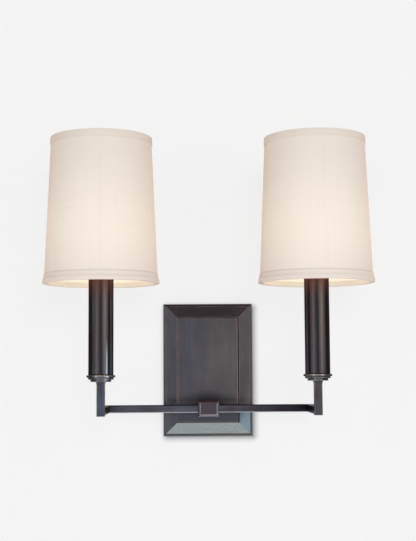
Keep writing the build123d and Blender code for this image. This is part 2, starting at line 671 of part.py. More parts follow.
def top_fitter(centre):
    """Top ring, three dropped spokes and the hub washer, welded together."""
    washer = Cylinder(HUB_RADIUS, HUB_THICKNESS) - Cylinder(HUB_BORE, 2 * HUB_THICKNESS)
    return ring(TOP_RING_Z, centre) + spokes(SPOKE_WIRE, centre) + Pos(*centre, HUB_Z) * washer


RIVET_RADIUS = 1.9
RIVET_HEAD = 3.6
CLIP_DISC_RADIUS = 6.0
CLIP_DISC_THICKNESS = 1.8
CLIP_GAP = 0.3              # the fitter turns this far above the clip's disc
CLIP_BENDS = [3.0, 12.0, 12.0, 5.0]


def bulb_clip(centre):
    """Rivet, disc and two wire loops that straddle the bulb."""
    disc_top = HUB_Z - HUB_THICKNESS / 2 - CLIP_GAP
    disc_bottom = disc_top - CLIP_DISC_THICKNESS
    head_low = HUB_Z + HUB_THICKNESS / 2 + CLIP_GAP
    corners = ((0, disc_bottom), (CLIP_DISC_RADIUS, disc_bottom), (CLIP_DISC_RADIUS, disc_top),
               (RIVET_RADIUS, disc_top), (RIVET_RADIUS, head_low), (RIVET_HEAD, head_low),
               (RIVET_HEAD - 0.9, head_low + 1.2), (0, head_low + 1.4))
    clip = spun(corners, (0, 0))
    middle = (disc_top + disc_bottom) / 2
    going_down = [(3.6, -3.6, middle), (8.0, -6.4, middle - 5), (13.6, -11.0, 206.0), (17.0, -11.2, 184.0),
                  (18.9, -7.5, 172.0)]
    for side in SIDES.values():
        points = [(side * x, y, z) for x, y, z in going_down]
        points += [(x, -y, z) for x, y, z in reversed(points)]
        clip += wire(points, CLIP_BENDS + CLIP_BENDS[::-1], CLIP_WIRE)
    return Pos(*centre, 0) * clip


# ---------------------------------------------------------------- leads
BEND_IN = 5.0               # bend of the inner lead where the arm meets the stem
CORNER_BEND = 8.0
HUB_BEND = 5.0
EXIT_NEAR = 6.3             # wall to the live leads behind the nipple
EXIT_FAR = 3.2              # wall to the neutral leads
SPREAD_START_Z = -39.0
SPREAD_END_Z = -28.0
SPREAD_BEND = 5.0
LEAD_SPLICE = 1.2           # half the spacing of two leads inside a connector


def lead(side, offset, exit_depth, nut_x):
    """Insulated lead from a socket through the stem, arm, bar and hub to its connector."""
    x = side * CANDLE_X
    hub_x = side * LEAD_OFFSET
    z = BAR_Z + offset
    end_x = nut_x + side * LEAD_SPLICE
    turn_in = NIPPLE_END - exit_depth
    lead_end_z = SUPPLY_NUT_MOUTH_Z + LEAD_INSERTION
    points = [(x, CANDLE_Y + offset, SOCKET_BOTTOM_Z), (x, CANDLE_Y + offset, z), (x, BAR_Y, z),
              (hub_x, BAR_Y, z), (hub_x, -exit_depth, z), (hub_x, -exit_depth, SPREAD_START_Z),
              (end_x, -NUT_DEPTH, SPREAD_END_Z), (end_x, -NUT_DEPTH, lead_end_z)]
    bends = [BEND_IN + LEAD_OFFSET - offset, CORNER_BEND, HUB_BEND, turn_in, SPREAD_BEND, SPREAD_BEND]
    return wire(points, bends, LEAD_RADIUS)


# ---------------------------------------------------------------- write every piece
save("backplate", backplate())
save("mounting_strap", mounting_strap())
save("cover_screws", cover_screws())
save("ground_screw", ground_screw())
save("ground_lead", ground_lead())
save("wire_nuts", wire_nuts())
save("hub_block", hub_block())
save("hub_nipple", hub_nipple())
save("hub_lock_washer", hub_lock_washer())
save("hub_nut", hub_nut())
save("cross_bar", cross_bar())
save("stem_plugs", stem_plugs())

ROUND_PIECES = {"stem_collar": stem_collar, "candle_cup": candle_cup, "candle_nipple": candle_nipple,
                "candle_nut": candle_nut, "socket_bracket": socket_bracket, "socket_body": socket_body,
                "socket_shell": socket_shell, "socket_contact": socket_contact, "candle_tube": candle_tube,
                "bulb_cap": bulb_cap, "bulb_glass": bulb_glass, "bulb_filament": bulb_filament,
                "shade_fabric": shade_fabric, "shade_backing": shade_backing, "shade_top_trim": top_trim,
                "shade_bottom_trim": bottom_trim, "shade_bottom_ring": bottom_ring,
                "shade_top_fitter": top_fitter, "bulb_clip": bulb_clip}

for name, side in SIDES.items():
    save(name + "_forward_arm", forward_arm(side))
    save(name + "_stem", stem(side))
    save(name + "_black_lead", lead(side, LEAD_OFFSET, EXIT_NEAR, SUPPLY_NUT_X))
    save(name + "_white_lead", lead(side, -LEAD_OFFSET, EXIT_FAR, -SUPPLY_NUT_X))
    for piece, make in ROUND_PIECES.items():
        save(name + "_" + piece, make((side * CANDLE_X, CANDLE_Y)))
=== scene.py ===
# %% [markdown]
# # A wall light with two candles and fabric shades
# The metal parts, the sockets and the bulbs come from the CAD model and stay as they are: this lesson gives
# them their finish. What is soft on the real lamp, the cloth of the shades and its folded edges, is
# modelled here. Everything is in metres: x to the right, y into the wall, z up, and the lamp faces -y.

# %% Load the frame
import math

import bmesh
import bpy
from mathutils import Matrix, Vector


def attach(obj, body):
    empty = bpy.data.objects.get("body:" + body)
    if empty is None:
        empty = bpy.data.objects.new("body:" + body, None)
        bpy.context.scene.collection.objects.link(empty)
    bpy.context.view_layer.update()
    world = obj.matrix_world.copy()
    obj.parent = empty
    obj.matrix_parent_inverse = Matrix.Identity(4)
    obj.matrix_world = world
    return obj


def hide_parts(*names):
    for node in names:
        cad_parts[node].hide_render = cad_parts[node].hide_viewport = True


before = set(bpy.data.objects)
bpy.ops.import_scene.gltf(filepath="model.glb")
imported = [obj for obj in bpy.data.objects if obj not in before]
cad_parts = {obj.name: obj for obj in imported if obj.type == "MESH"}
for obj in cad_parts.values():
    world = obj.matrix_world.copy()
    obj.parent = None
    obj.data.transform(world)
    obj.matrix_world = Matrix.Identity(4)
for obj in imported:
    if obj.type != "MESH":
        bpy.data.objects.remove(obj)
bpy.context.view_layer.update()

# %% [markdown]
# ## Places that the finishes need
# A pattern on a part is placed from the part's own measures, so the few that matter are written down once:
# the middle of each square tube, the middle of each candle, and the steps of the wall plate from its edge
# inwards.

# %% Measures of the lamp
CANDLE_X = 0.127
CANDLE_Y = -0.1212
BAR_Y = -0.038
BAR_Z = -0.0481
BAR_HALF = 0.0047625
PLATE_HALF_WIDTH = 0.0565
PLATE_HALF_HEIGHT = 0.0835
RIM_FRONT_Y = -0.01
RIM_INSET = 0.0034
BEVEL_INSET = 0.017
PANEL_INSET = 0.019
SHADE_BOTTOM_Z = 0.1012
SHADE_TOP_Z = 0.2743
SHADE_BOTTOM_RADIUS = 0.0669
SHADE_TOP_RADIUS = 0.0594
SIDES = {"left": -1, "right": 1}


def shade_radius(z):
    """Outer radius of the cloth at a height."""
    share = (z - SHADE_BOTTOM_Z) / (SHADE_TOP_Z - SHADE_BOTTOM_Z)
    return SHADE_BOTTOM_RADIUS + share * (SHADE_TOP_RADIUS - SHADE_BOTTOM_RADIUS)


print("shade", round(2000 * SHADE_BOTTOM_RADIUS), "mm wide at its foot")

# %% [markdown]
# ## Camera
# The photograph was taken from straight in front, a little to the left, with the camera about level with
# the bar and tilted up, which shows the inside of the shades' hems. The place, the tilt and the lens were
# worked out by matching measured points of the lamp to the photograph. The camera's axes are built from its
# aim, so that no rotation order has to be remembered.

# %% Camera
CAMERA_PLACE = Vector((-0.0232, -1.43882, -0.00427))
CAMERA_YAW = math.radians(0.965)
CAMERA_PITCH = math.radians(5.23)
CAMERA_ROLL = math.radians(-0.35)
FOCAL_LENGTH = 97.02
SENSOR_WIDTH = 36

sideways = Vector((math.cos(CAMERA_YAW), -math.sin(CAMERA_YAW), 0))
level_aim = Vector((math.sin(CAMERA_YAW), math.cos(CAMERA_YAW), 0))
aim = level_aim * math.cos(CAMERA_PITCH) + Vector((0, 0, math.sin(CAMERA_PITCH)))
upwards = sideways.cross(aim)
axes = Matrix((sideways, upwards, -aim)).transposed()
lens = bpy.data.cameras.new("camera")
lens.sensor_fit = "HORIZONTAL"
lens.sensor_width = SENSOR_WIDTH
lens.lens = FOCAL_LENGTH
camera = bpy.data.objects.new("camera", lens)
bpy.context.collection.objects.link(camera)
camera.matrix_world = Matrix.Translation(CAMERA_PLACE) @ axes.to_4x4() @ Matrix.Rotation(CAMERA_ROLL, 4, "Z")
bpy.context.scene.camera = camera
bpy.context.scene.view_settings.view_transform = "Standard"
print("camera", round(-1000 * CAMERA_PLACE.y), "mm in front of the wall")

# %% [markdown]
# ## Building a finish from nodes
# Every finish is a small graph of nodes. A few helpers keep the recipes short enough to read: one adds a
# node and fills its sockets, with a number or with the output of another node, and the others do
# arithmetic, mix colours and make noise.

# %% Adding nodes
def add(tree, kind, sockets=None, **settings):
    """Add a node, set it, and fill or link its sockets."""
    made = tree.nodes.new(kind)
    for key, value in settings.items():
        setattr(made, key, value)
    for key, value in (sockets or {}).items():
        if isinstance(value, bpy.types.NodeSocket):
            tree.links.new(value, made.inputs[key])
        else:
            made.inputs[key].default_value = value
    return made


def plug(tree, shader, **sockets):
    """Fill the shader's sockets, whose names are written with _ for a space."""
    for key, value in sockets.items():
        socket = shader.inputs[key.replace("_", " ")]
        if isinstance(value, bpy.types.NodeSocket):
            tree.links.new(value, socket)
        else:
            socket.default_value = value


def new_finish(name):
    """A material, its node tree, its shader and its Object coordinates."""
    material = bpy.data.materials.new(name)
    material.use_nodes = True
    tree = material.node_tree
    shader = tree.nodes["Principled BSDF"]
    place = add(tree, "ShaderNodeTexCoord").outputs["Object"]
    return material, tree, shader, place


def give(finish, *nodes):
    """Put a finish on CAD nodes."""
    for name in nodes:
        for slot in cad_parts[name].material_slots:
            slot.material = finish


print("node helpers ready")

# %% Arithmetic with nodes
def calc(tree, operation, first, second=0.0, third=0.0):
    """One step of arithmetic."""
    return add(tree, "ShaderNodeMath", {0: first, 1: second, 2: third}, operation=operation).outputs[0]


def plus(tree, first, second):
    """The sum of two values."""
    return calc(tree, "ADD", first, second)


def minus(tree, first, second):
    """The first value minus the second."""
    return calc(tree, "SUBTRACT", first, second)


def larger(tree, first, second):
    """The larger of two values."""
    return calc(tree, "MAXIMUM", first, second)


def unsigned(tree, value):
    """A value without its sign."""
    return calc(tree, "ABSOLUTE", value)


def product(tree, first, *others):
    """Values multiplied together."""
    for other in others:
        first = calc(tree, "MULTIPLY", first, other)
    return first


def parts(tree, vector):
    """The X, Y and Z of a vector."""
    return add(tree, "ShaderNodeSeparateXYZ", {0: vector}).outputs


def surface_normal(tree):
    """Which way the surface faces, along the part's own axes."""
    return add(tree, "ShaderNodeTexCoord").outputs["Normal"]


def ramp(tree, value, low, high, from_value=0.0, to_value=1.0):
    """Smooth step: from_value where value is at low, to_value where it is at high."""
    limits = {"Value": value, "From Min": low, "From Max": high, "To Min": from_value, "To Max": to_value}
    return add(tree, "ShaderNodeMapRange", limits, interpolation_type="SMOOTHSTEP").outputs["Result"]


def fade(tree, value, low, high, share=1.0):
    """A share up to low, falling smoothly to 0 at high."""
    return ramp(tree, value, low, high, share, 0.0)


def distance_to(tree, value, target):
    """How far a coordinate is from a target, without its sign."""
    return unsigned(tree, minus(tree, value, target))


def near(tree, value, target, inner, outer, share=1.0):
    """A share up to inner away from a target, falling to 0 at outer."""
    return fade(tree, distance_to(tree, value, target), inner, outer, share)


print("arithmetic ready")

# %% Colour and noise
MOST_NOISE = (0.3, 0.7)
MID_NOISE = (0.35, 0.65)


def mix(tree, share, first, second, way="MIX"):
    """Mix two colours, each a tuple or the output of another node."""
    made = add(tree, "ShaderNodeMix", {0: share, 6: first, 7: second}, data_type="RGBA", blend_type=way)
    return made.outputs[2]


def scale_colour(tree, colour, amount):
    """Make a colour lighter or darker."""
    return add(tree, "ShaderNodeVectorMath", {0: colour, "Scale": amount}, operation="SCALE").outputs[0]


def grain(tree, place, stretch, scale, detail=3.0):
    """Noise stretched along a direction, as brushing or thread is."""
    mapped = add(tree, "ShaderNodeMapping", {"Vector": place, "Scale": stretch})
    noise = add(tree, "ShaderNodeTexNoise", {"Vector": mapped.outputs[0], "Scale": scale, "Detail": detail})
    return noise.outputs["Fac"]


def cloud(tree, place, scale, detail=3.0):
    """Noise that is the same in every direction."""
    return grain(tree, place, (1, 1, 1), scale, detail)


def roughen(tree, shader, height, distance, strength=1.0):
    """Let a height pattern tilt the surface's normals."""
    bump = add(tree, "ShaderNodeBump", {"Height": height, "Distance": distance, "Strength": strength})
    tree.links.new(bump.outputs[0], shader.inputs["Normal"])


print("colour and noise ready")

# %% [markdown]
# ## Aged bronze
# The lamp's metal is a bronze darkened almost to black and then brushed: fine lines run along each part,
# the colour drifts between violet brown and blue grey, and the dark skin is rubbed off along the edges,
# where a reddish or pale metal shows. A metal shader gets all three from Object coordinates. The brushing
# is noise squeezed across the part and drawn out along it, so each part has its own grain direction.

# %% Bronze, for any part
VIOLET_BROWN = (0.062, 0.048, 0.052, 1)
BLUE_GREY = (0.078, 0.08, 0.09, 1)
RUBBED = (0.34, 0.30, 0.28, 1)
BRONZE_EDGE_TINT = (0.35, 0.35, 0.35, 1)
BRONZE_ROUGHNESS = (0.27, 0.37)
BRUSH_ALONG = {"x": (12, 600, 600), "y": (600, 12, 600), "z": (600, 600, 12)}
BRUSH_SCALE = 1.6
BRUSH_CONTRAST = (0.82, 1.18)
BRUSH_RELIEF = 0.00003
DRIFT_SCALE = 22.0


def brushed_metal(tree, shader, place, along):
    """Set the roughness and the relief of brushed metal, and return its brushing."""
    brushing = grain(tree, place, BRUSH_ALONG[along], BRUSH_SCALE)
    roughness = ramp(tree, brushing, *MOST_NOISE, *BRONZE_ROUGHNESS)
    plug(tree, shader, Metallic=1.0, Roughness=roughness, Specular_Tint=BRONZE_EDGE_TINT)
    roughen(tree, shader, brushing, BRUSH_RELIEF, 0.5)
    return brushing


def bronze_skin(tree, shader, place, along):
    """Brushed metal with the dark skin's colour, which is returned."""
    brushing = brushed_metal(tree, shader, place, along)
    drift = cloud(tree, place, DRIFT_SCALE, 2.0)
    colour = mix(tree, ramp(tree, drift, *MID_NOISE), VIOLET_BROWN, BLUE_GREY)
    return scale_colour(tree, colour, ramp(tree, brushing, *MOST_NOISE, *BRUSH_CONTRAST))


print("bronze ready")

# %% [markdown]
# The bar, the arms and the stems are square tubes. Their four edges are rubbed in patches. On the tubes
# that lie level, the upper front edge gets a line of painted shade and the lower one a patchy painted
# highlight, so those two are drawn from the height over the tube's middle. The bar is also lighter on
# the left than on the right, and the left stem is bluish at its foot.

# %% Square tubes
RUBBED_EDGE = (0.0009, 0.0003)
EDGE_LINE = (0.0011, 0.0008)
UPPER_EDGE_SHADE = (0.016, 0.012, 0.014, 1)
LOWER_EDGE_HIGHLIGHT = (0.46, 0.475, 0.5, 1)
BAR_TINTS = (0.0, 0.13, (1.75, 1.85, 2.05), (0.4, 0.32, 0.38))
STEM_TINTS = {"left": (-0.05, -0.02, (1.7, 2.2, 2.7), (1.3, 1.35, 1.55)),
              "right": (-0.05, -0.02, (1.5, 1.6, 1.7), (1.7, 1.7, 1.6))}


def painted_edge_light(tree, place, height, colour):
    """Painted shade on the upper edge and a patchy painted highlight on the lower edge of a level tube."""
    upper = ramp(tree, height, *(BAR_HALF - inset for inset in EDGE_LINE))
    lower = ramp(tree, height, *(inset - BAR_HALF for inset in EDGE_LINE))
    highlight_patches = ramp(tree, cloud(tree, place, 40.0), 0.3, 0.5, 0.55, 1.0)
    colour = mix(tree, upper, colour, UPPER_EDGE_SHADE)
    return mix(tree, product(tree, lower, highlight_patches), colour, LOWER_EDGE_HIGHLIGHT)


def tube_bronze(name, along, centre, tints=None):
    """Bronze for a square tube, rubbed along its four edges.

    centre gives the axis of the tube, tints two places along it and the tint at each.
    """
    material, tree, shader, place = new_finish(name)
    split = parts(tree, place)
    colour = bronze_skin(tree, shader, place, along)
    if tints:
        start, end, start_tint, end_tint = tints
        shift = ramp(tree, split[along.upper()], start, end)
        tint = mix(tree, shift, (*start_tint, 1), (*end_tint, 1))
        colour = mix(tree, 1.0, colour, tint, "MULTIPLY")
    offsets = [distance_to(tree, split[axis], middle) for axis, middle in centre.items()]
    nearer = calc(tree, "MINIMUM", *offsets)
    edge = ramp(tree, nearer, *(BAR_HALF - inset for inset in RUBBED_EDGE))
    patches = ramp(tree, cloud(tree, place, 90.0), 0.38, 0.6, 0.25, 1.0)
    colour = mix(tree, product(tree, edge, patches), colour, RUBBED)
    # painted shade on the upper edge and a painted highlight on the lower edge of a level tube
    if along != "z":
        colour = painted_edge_light(tree, place, minus(tree, split["Z"], BAR_Z), colour)
    plug(tree, shader, Base_Color=colour)
    return material


give(tube_bronze("bronze_bar", "x", {"Y": BAR_Y, "Z": BAR_Z}, BAR_TINTS), "cross_bar")
for side, sign in SIDES.items():
    candle_x = sign * CANDLE_X
    arm = tube_bronze("bronze_arm_" + side, "y", {"X": candle_x, "Z": BAR_Z})
    stem = tube_bronze("bronze_stem_" + side, "z", {"X": candle_x, "Y": CANDLE_Y}, STEM_TINTS[side])
    give(arm, side + "_forward_arm")
    give(stem, side + "_stem", side + "_stem_collar")
print("square tubes finished")

# %% [markdown]
# ## Candle tubes and cups
# A brushed round tube shows soft upright bands of light and dark. Part of that comes from the lights, and
# part is painted: two lighter upright bands in front as painted reflections, with painted shade in a strip
# between them and in lines beside them. They are drawn from the angle round the tube's axis, so they stay
# with the tube. Its top, near the bulb, has a painted reddish reflection of the lit shade's inside.

# %% Candle tubes
# places and colours of the painted reflections, painted shade and painted glint on the candle tubes
BAND_MIDDLE = {"left": math.radians(4), "right": math.radians(-5)}
BAND_ANGLE = math.radians(20.5)
BAND_REACH = (math.radians(11), math.radians(16))
LEFT_BAND = (0.088, 0.073, 0.07, 1)
RIGHT_BAND = (0.145, 0.12, 0.11, 1)
COOL_BAND = (0.085, 0.09, 0.1, 1)
COOL_HEIGHT = (0.0, 0.05)
BETWEEN_BANDS = (0.045, 0.042, 0.05, 1)
BETWEEN_REACH = (math.radians(4), math.radians(8))
DARK_LINES = {"left": ((-54, 8), (40, 3)), "right": ((-40, 6), (51, 8))}
DARK_LINE_FALL = 6
GLINT_ANGLE = math.radians(28)
GLINT_REACH = (math.radians(2), math.radians(5.5))
GLINT_HEIGHT = (0.006, 0.04)
GLINT_COLOUR = (0.5, 0.62, 0.67, 1)
TUBE_SHADOW = (0.022, 0.018, 0.021, 1)
CUP_TOP_Z = -0.006
FOOT_SHADOW = (CUP_TOP_Z + 0.0009, CUP_TOP_Z + 0.0018)
WARM_REFLECTION_COLOUR = (0.185, 0.06, 0.038, 1)
WARM_REFLECTION_HEIGHT = (0.078, 0.112)


def tube_angle(tree, place, side):
    """Angle round a candle's axis, 0 midway between its bands, growing to the right; and the height."""
    split = parts(tree, place)
    right = minus(tree, split["X"], SIDES[side] * CANDLE_X)
    front = minus(tree, CANDLE_Y, split["Y"])
    angle = calc(tree, "ARCTAN2", right, front)
    return minus(tree, angle, BAND_MIDDLE[side]), split["Z"]


def dark_lines(tree, angle, turn, side, skin):
    """Painted shade: the strip between the bands and the lines beside them, whose angles are in degrees."""
    skin = mix(tree, fade(tree, turn, *BETWEEN_REACH), skin, BETWEEN_BANDS)
    for middle, half in DARK_LINES[side]:
        inner, outer = math.radians(half), math.radians(half + DARK_LINE_FALL)
        shadow = near(tree, angle, math.radians(middle), inner, outer)
        skin = mix(tree, shadow, skin, TUBE_SHADOW)
    return skin


def candle_bronze(side):
    """Bronze for a candle tube: painted reflection bands and warm top, and on the left a painted glint."""
    material, tree, shader, place = new_finish("bronze_candle_" + side)
    skin = bronze_skin(tree, shader, place, "z")
    angle, height = tube_angle(tree, place, side)
    turn = unsigned(tree, angle)
    skin = dark_lines(tree, angle, turn, side, skin)
    # painted reflections: lighter upright bands in front
    band = near(tree, turn, BAND_ANGLE, *BAND_REACH)
    streaks = ramp(tree, grain(tree, place, (60, 60, 2), 3.0), *MID_NOISE, 0.75, 1.0)
    warm = mix(tree, ramp(tree, angle, -0.01, 0.01), LEFT_BAND, RIGHT_BAND)
    tone = mix(tree, fade(tree, height, *COOL_HEIGHT, 0.6), warm, COOL_BAND)
    colour = mix(tree, product(tree, band, streaks), skin, tone)
    # a painted glint low down on the left tube
    if side == "left":
        glint = product(tree, near(tree, angle, GLINT_ANGLE, *GLINT_REACH), fade(tree, height, *GLINT_HEIGHT))
        colour = mix(tree, glint, colour, GLINT_COLOUR)
    colour = mix(tree, fade(tree, height, *FOOT_SHADOW, 0.8), colour, TUBE_SHADOW)
    # painted warm reflection of the lit shade at the tube's top
    warm_reflection = ramp(tree, height, *WARM_REFLECTION_HEIGHT, 0.0, 0.55)
    plug(tree, shader, Base_Color=mix(tree, warm_reflection, colour, WARM_REFLECTION_COLOUR))
    return material


for side in SIDES:
    give(candle_bronze(side), side + "_candle_tube")
print("candle tubes finished")

# %% [markdown]
# The cups under the candles are turned, and the stems' plugs and the cover screws are cut. Their skin is
# rubbed off in spots rather than along a straight edge. A cup's beads have a greyer painted reflection in
# front, its top edge a painted highlight there, and on the left cup two of the beads have painted sparks.

# %% Cups and turned parts
CUP_EDGE_HIGHLIGHT = (0.5, 0.46, 0.36, 1)
CUP_HIGHLIGHT_HEIGHT = (CUP_TOP_Z - 0.0016, CUP_TOP_Z - 0.0008)
CUP_FRONT = (math.radians(15), math.radians(38))
BEAD_FRONT_REFLECTION = (0.19, 0.2, 0.215, 1)
SPARK_REACH = (math.radians(3), math.radians(8))
SPARK_HALF_HEIGHT = (0.0004, 0.0009)
SPARK_Z = (-0.0078, -0.0112)
SPARK_COLOUR = (0.9, 0.95, 1.0, 1)


def turned_bronze(name):
    """Bronze for the turned and cut parts, with rubbed spots."""
    material, tree, shader, place = new_finish(name)
    colour = bronze_skin(tree, shader, place, "z")
    spots = ramp(tree, grain(tree, place, (1, 1, 3), 150.0), 0.52, 0.7, 0.0, 0.5)
    plug(tree, shader, Base_Color=mix(tree, spots, colour, RUBBED))
    return material


def cup_bronze(side):
    """Bronze for a cup: rubbed in patches, with a painted reflection and edge highlight in front."""
    material, tree, shader, place = new_finish("bronze_cup_" + side)
    skin = bronze_skin(tree, shader, place, "z")
    angle, height = tube_angle(tree, place, side)
    front = fade(tree, unsigned(tree, angle), *CUP_FRONT)
    # painted reflection: the beads greyer in front, darker at the sides
    colour = mix(tree, product(tree, front, 0.85), skin, BEAD_FRONT_REFLECTION)
    rubbed = ramp(tree, grain(tree, place, (1, 1, 2), 110.0), 0.45, 0.65, 0.0, 0.4)
    colour = mix(tree, rubbed, colour, RUBBED)
    # painted highlight along the top edge in front
    edge = product(tree, front, ramp(tree, height, *CUP_HIGHLIGHT_HEIGHT))
    colour = mix(tree, edge, colour, CUP_EDGE_HIGHLIGHT)
    # painted sparks where the light catches two beads of the left cup
    if side == "left":
        caught = near(tree, angle, GLINT_ANGLE, *SPARK_REACH)
        for bead in SPARK_Z:
            spark = product(tree, caught, near(tree, height, bead, *SPARK_HALF_HEIGHT))
            colour = mix(tree, spark, colour, SPARK_COLOUR)
    plug(tree, shader, Base_Color=colour)
    return material


give(turned_bronze("bronze_turned"), "stem_plugs", "cover_screws")
for side in SIDES:
    give(cup_bronze(side), side + "_candle_cup")
print("cups finished")

# %% [markdown]
# ## Wall plate and block
# The plate is a pressed pan. Its panel is blue grey on the left and brown on the right, with painted shade
# round the block and the bar. Drifting noise bends the border between the two colours, so that it doesn't
# look painted on.

# %% Panel of the plate
PANEL_LEFT = (0.131, 0.128, 0.148, 1)
PANEL_RIGHT = (0.153, 0.142, 0.146, 1)
PANEL_DRIFT = 0.06
PANEL_BLEND = 0.026
BLOCK_SHADE = (0.048, 0.045, 0.048, 1)
BLOCK_SHADE_Z = -0.0375
BLOCK_SHADE_REACH = (0.006, 0.036)


def panel_skin(tree, place, x, z):
    """The panel's colour, with painted shade round the block and the bar."""
    drift = minus(tree, grain(tree, place, (14, 14, 5), 2.2), 0.5)
    across = plus(tree, x, product(tree, drift, PANEL_DRIFT))
    colour = mix(tree, ramp(tree, across, -PANEL_BLEND, PANEL_BLEND), PANEL_LEFT, PANEL_RIGHT)
    brushing = ramp(tree, grain(tree, place, BRUSH_ALONG["z"], 1.2), *MOST_NOISE, 0.95, 1.05)
    clouds = ramp(tree, grain(tree, place, (1, 1, 0.6), 38.0, 4.0), *MOST_NOISE, 0.88, 1.1)
    colour = scale_colour(tree, colour, product(tree, brushing, clouds))
    # painted shade round the block and the bar
    over = product(tree, distance_to(tree, z, BLOCK_SHADE_Z), 2.2)
    beside = product(tree, unsigned(tree, x), 0.5)
    painted_block_shade = fade(tree, plus(tree, over, beside), *BLOCK_SHADE_REACH, 0.85)
    return mix(tree, painted_block_shade, colour, BLOCK_SHADE)


print("panel colour ready")

# %% [markdown]
# Each fold of the plate lies at a fixed distance in from its edge, so the distance to the nearest edge,
# taken from x and z, tells the rim, the bevel, the groove and the panel apart. The groove on the right and at
# the top and the upper rim get painted shade, and three of the bevels have painted reflections, the colour of
# what they mirror: dark above, pale below, and bluish low on the right. Those are told apart by the way they
# face.

# %% Steps of the plate
NAVY = (0.083, 0.1, 0.122, 1)
NAVY_BELOW = (-0.054, -0.051)
GROOVE_FLOOR = (0.13, 0.125, 0.135, 1)
GROOVE_RIGHT_SHADE = (0.028, 0.022, 0.024, 1)
GROOVE_TOP_SHADE = (0.05, 0.042, 0.048, 1)
UPPER_RIM_SHADE = (0.055, 0.044, 0.05, 1)
UPPER_BEVEL = (0.12, 0.108, 0.125, 1)
LOWER_BEVEL = (0.215, 0.245, 0.24, 1)
RIGHT_GLINT = (0.33, 0.45, 0.55, 1)
RIGHT_HAZE = (0.25, 0.235, 0.262, 1)
GLINT_BELOW = (-0.052, -0.044)
GLINT_SLANT = 2.6
GLINT_FALL = (0.0, -0.05)
FACING = (0.2, 0.4)
BORDER = 0.0001


def flat_steps(tree, z, inset, above, to_the_right, colour):
    """Colour the lower panel, and paint shade into the groove and onto the upper rim."""
    panel = ramp(tree, inset, PANEL_INSET - 2 * BORDER, PANEL_INSET)
    under_bar = product(tree, panel, fade(tree, z, *NAVY_BELOW, 0.8))
    colour = mix(tree, under_bar, colour, NAVY)
    inside_bevel = ramp(tree, inset, BEVEL_INSET + 2 * BORDER, BEVEL_INSET + 5 * BORDER)
    groove = minus(tree, inside_bevel, panel)
    # painted shade in the groove on the right and at the top
    floor = mix(tree, to_the_right, GROOVE_FLOOR, GROOVE_RIGHT_SHADE)
    floor = mix(tree, above, floor, GROOVE_TOP_SHADE)
    colour = mix(tree, groove, colour, floor)
    # painted shade on the upper rim
    shaded_upper_rim = product(tree, above, fade(tree, inset, RIM_INSET - 2 * BORDER, RIM_INSET))
    return mix(tree, shaded_upper_rim, colour, UPPER_RIM_SHADE)


def bevels(tree, z, inset, bevel, colour):
    """Paint reflections onto the upper, lower and right bevels, found by the way they face."""
    facing = parts(tree, surface_normal(tree))
    up = product(tree, ramp(tree, facing["Z"], *FACING), bevel)
    down = product(tree, ramp(tree, facing["Z"], *(-limit for limit in FACING)), bevel)
    right = product(tree, ramp(tree, facing["X"], *FACING), bevel)
    slant = product(tree, minus(tree, inset, RIM_INSET), GLINT_SLANT)
    low = product(tree, right, ramp(tree, plus(tree, z, slant), *GLINT_FALL))
    glint = mix(tree, ramp(tree, z, *GLINT_BELOW), RIGHT_GLINT, RIGHT_HAZE)
    colour = mix(tree, up, colour, UPPER_BEVEL)
    colour = mix(tree, down, colour, LOWER_BEVEL)
    return mix(tree, low, colour, glint)


print("plate colours ready")

# %% [markdown]
# The skin is rubbed to a copper line on every fold: round the rim, along the mitres and on both sides of
# the groove. The lines are drawn from the distance to the edge too, and a mitre is where a side and an end
# are equally far away. The wear is patchy, and fainter below the bar.

# %% Plate
COPPER = (0.36, 0.26, 0.235, 1)
FOLD_LINE = (0.00012, 0.00048)
FRONT_REACH = (RIM_FRONT_Y + 0.0015, RIM_FRONT_Y + 0.0005)
WEAR_HEIGHT = (-0.056, -0.045)
WEAR_SHARE = (0.25, 0.85)


def fold_line(tree, distance, target):
    """1 on a fold at a target distance, falling to 0 a little way off."""
    return near(tree, distance, target, *FOLD_LINE)


def worn_folds(tree, place, y, z, from_side, from_end, inset, bevel, to_the_right):
    """Where the plate's folds are rubbed to copper."""
    inside_rim = ramp(tree, inset, RIM_INSET - 4 * BORDER, RIM_INSET)
    lines = product(tree, fold_line(tree, from_side, from_end), bevel, inside_rim)
    for fold in (BEVEL_INSET, PANEL_INSET, RIM_INSET):
        lines = larger(tree, lines, fold_line(tree, inset, fold))
    higher = ramp(tree, z, *WEAR_HEIGHT, *WEAR_SHARE)
    patches = ramp(tree, cloud(tree, place, 60.0), 0.35, 0.6, 0.35, 1.0)
    right_border = product(tree, to_the_right, fold_line(tree, inset, PANEL_INSET + 5 * BORDER), higher)
    worn = larger(tree, product(tree, lines, higher, patches), right_border)
    return product(tree, worn, ramp(tree, y, *FRONT_REACH))


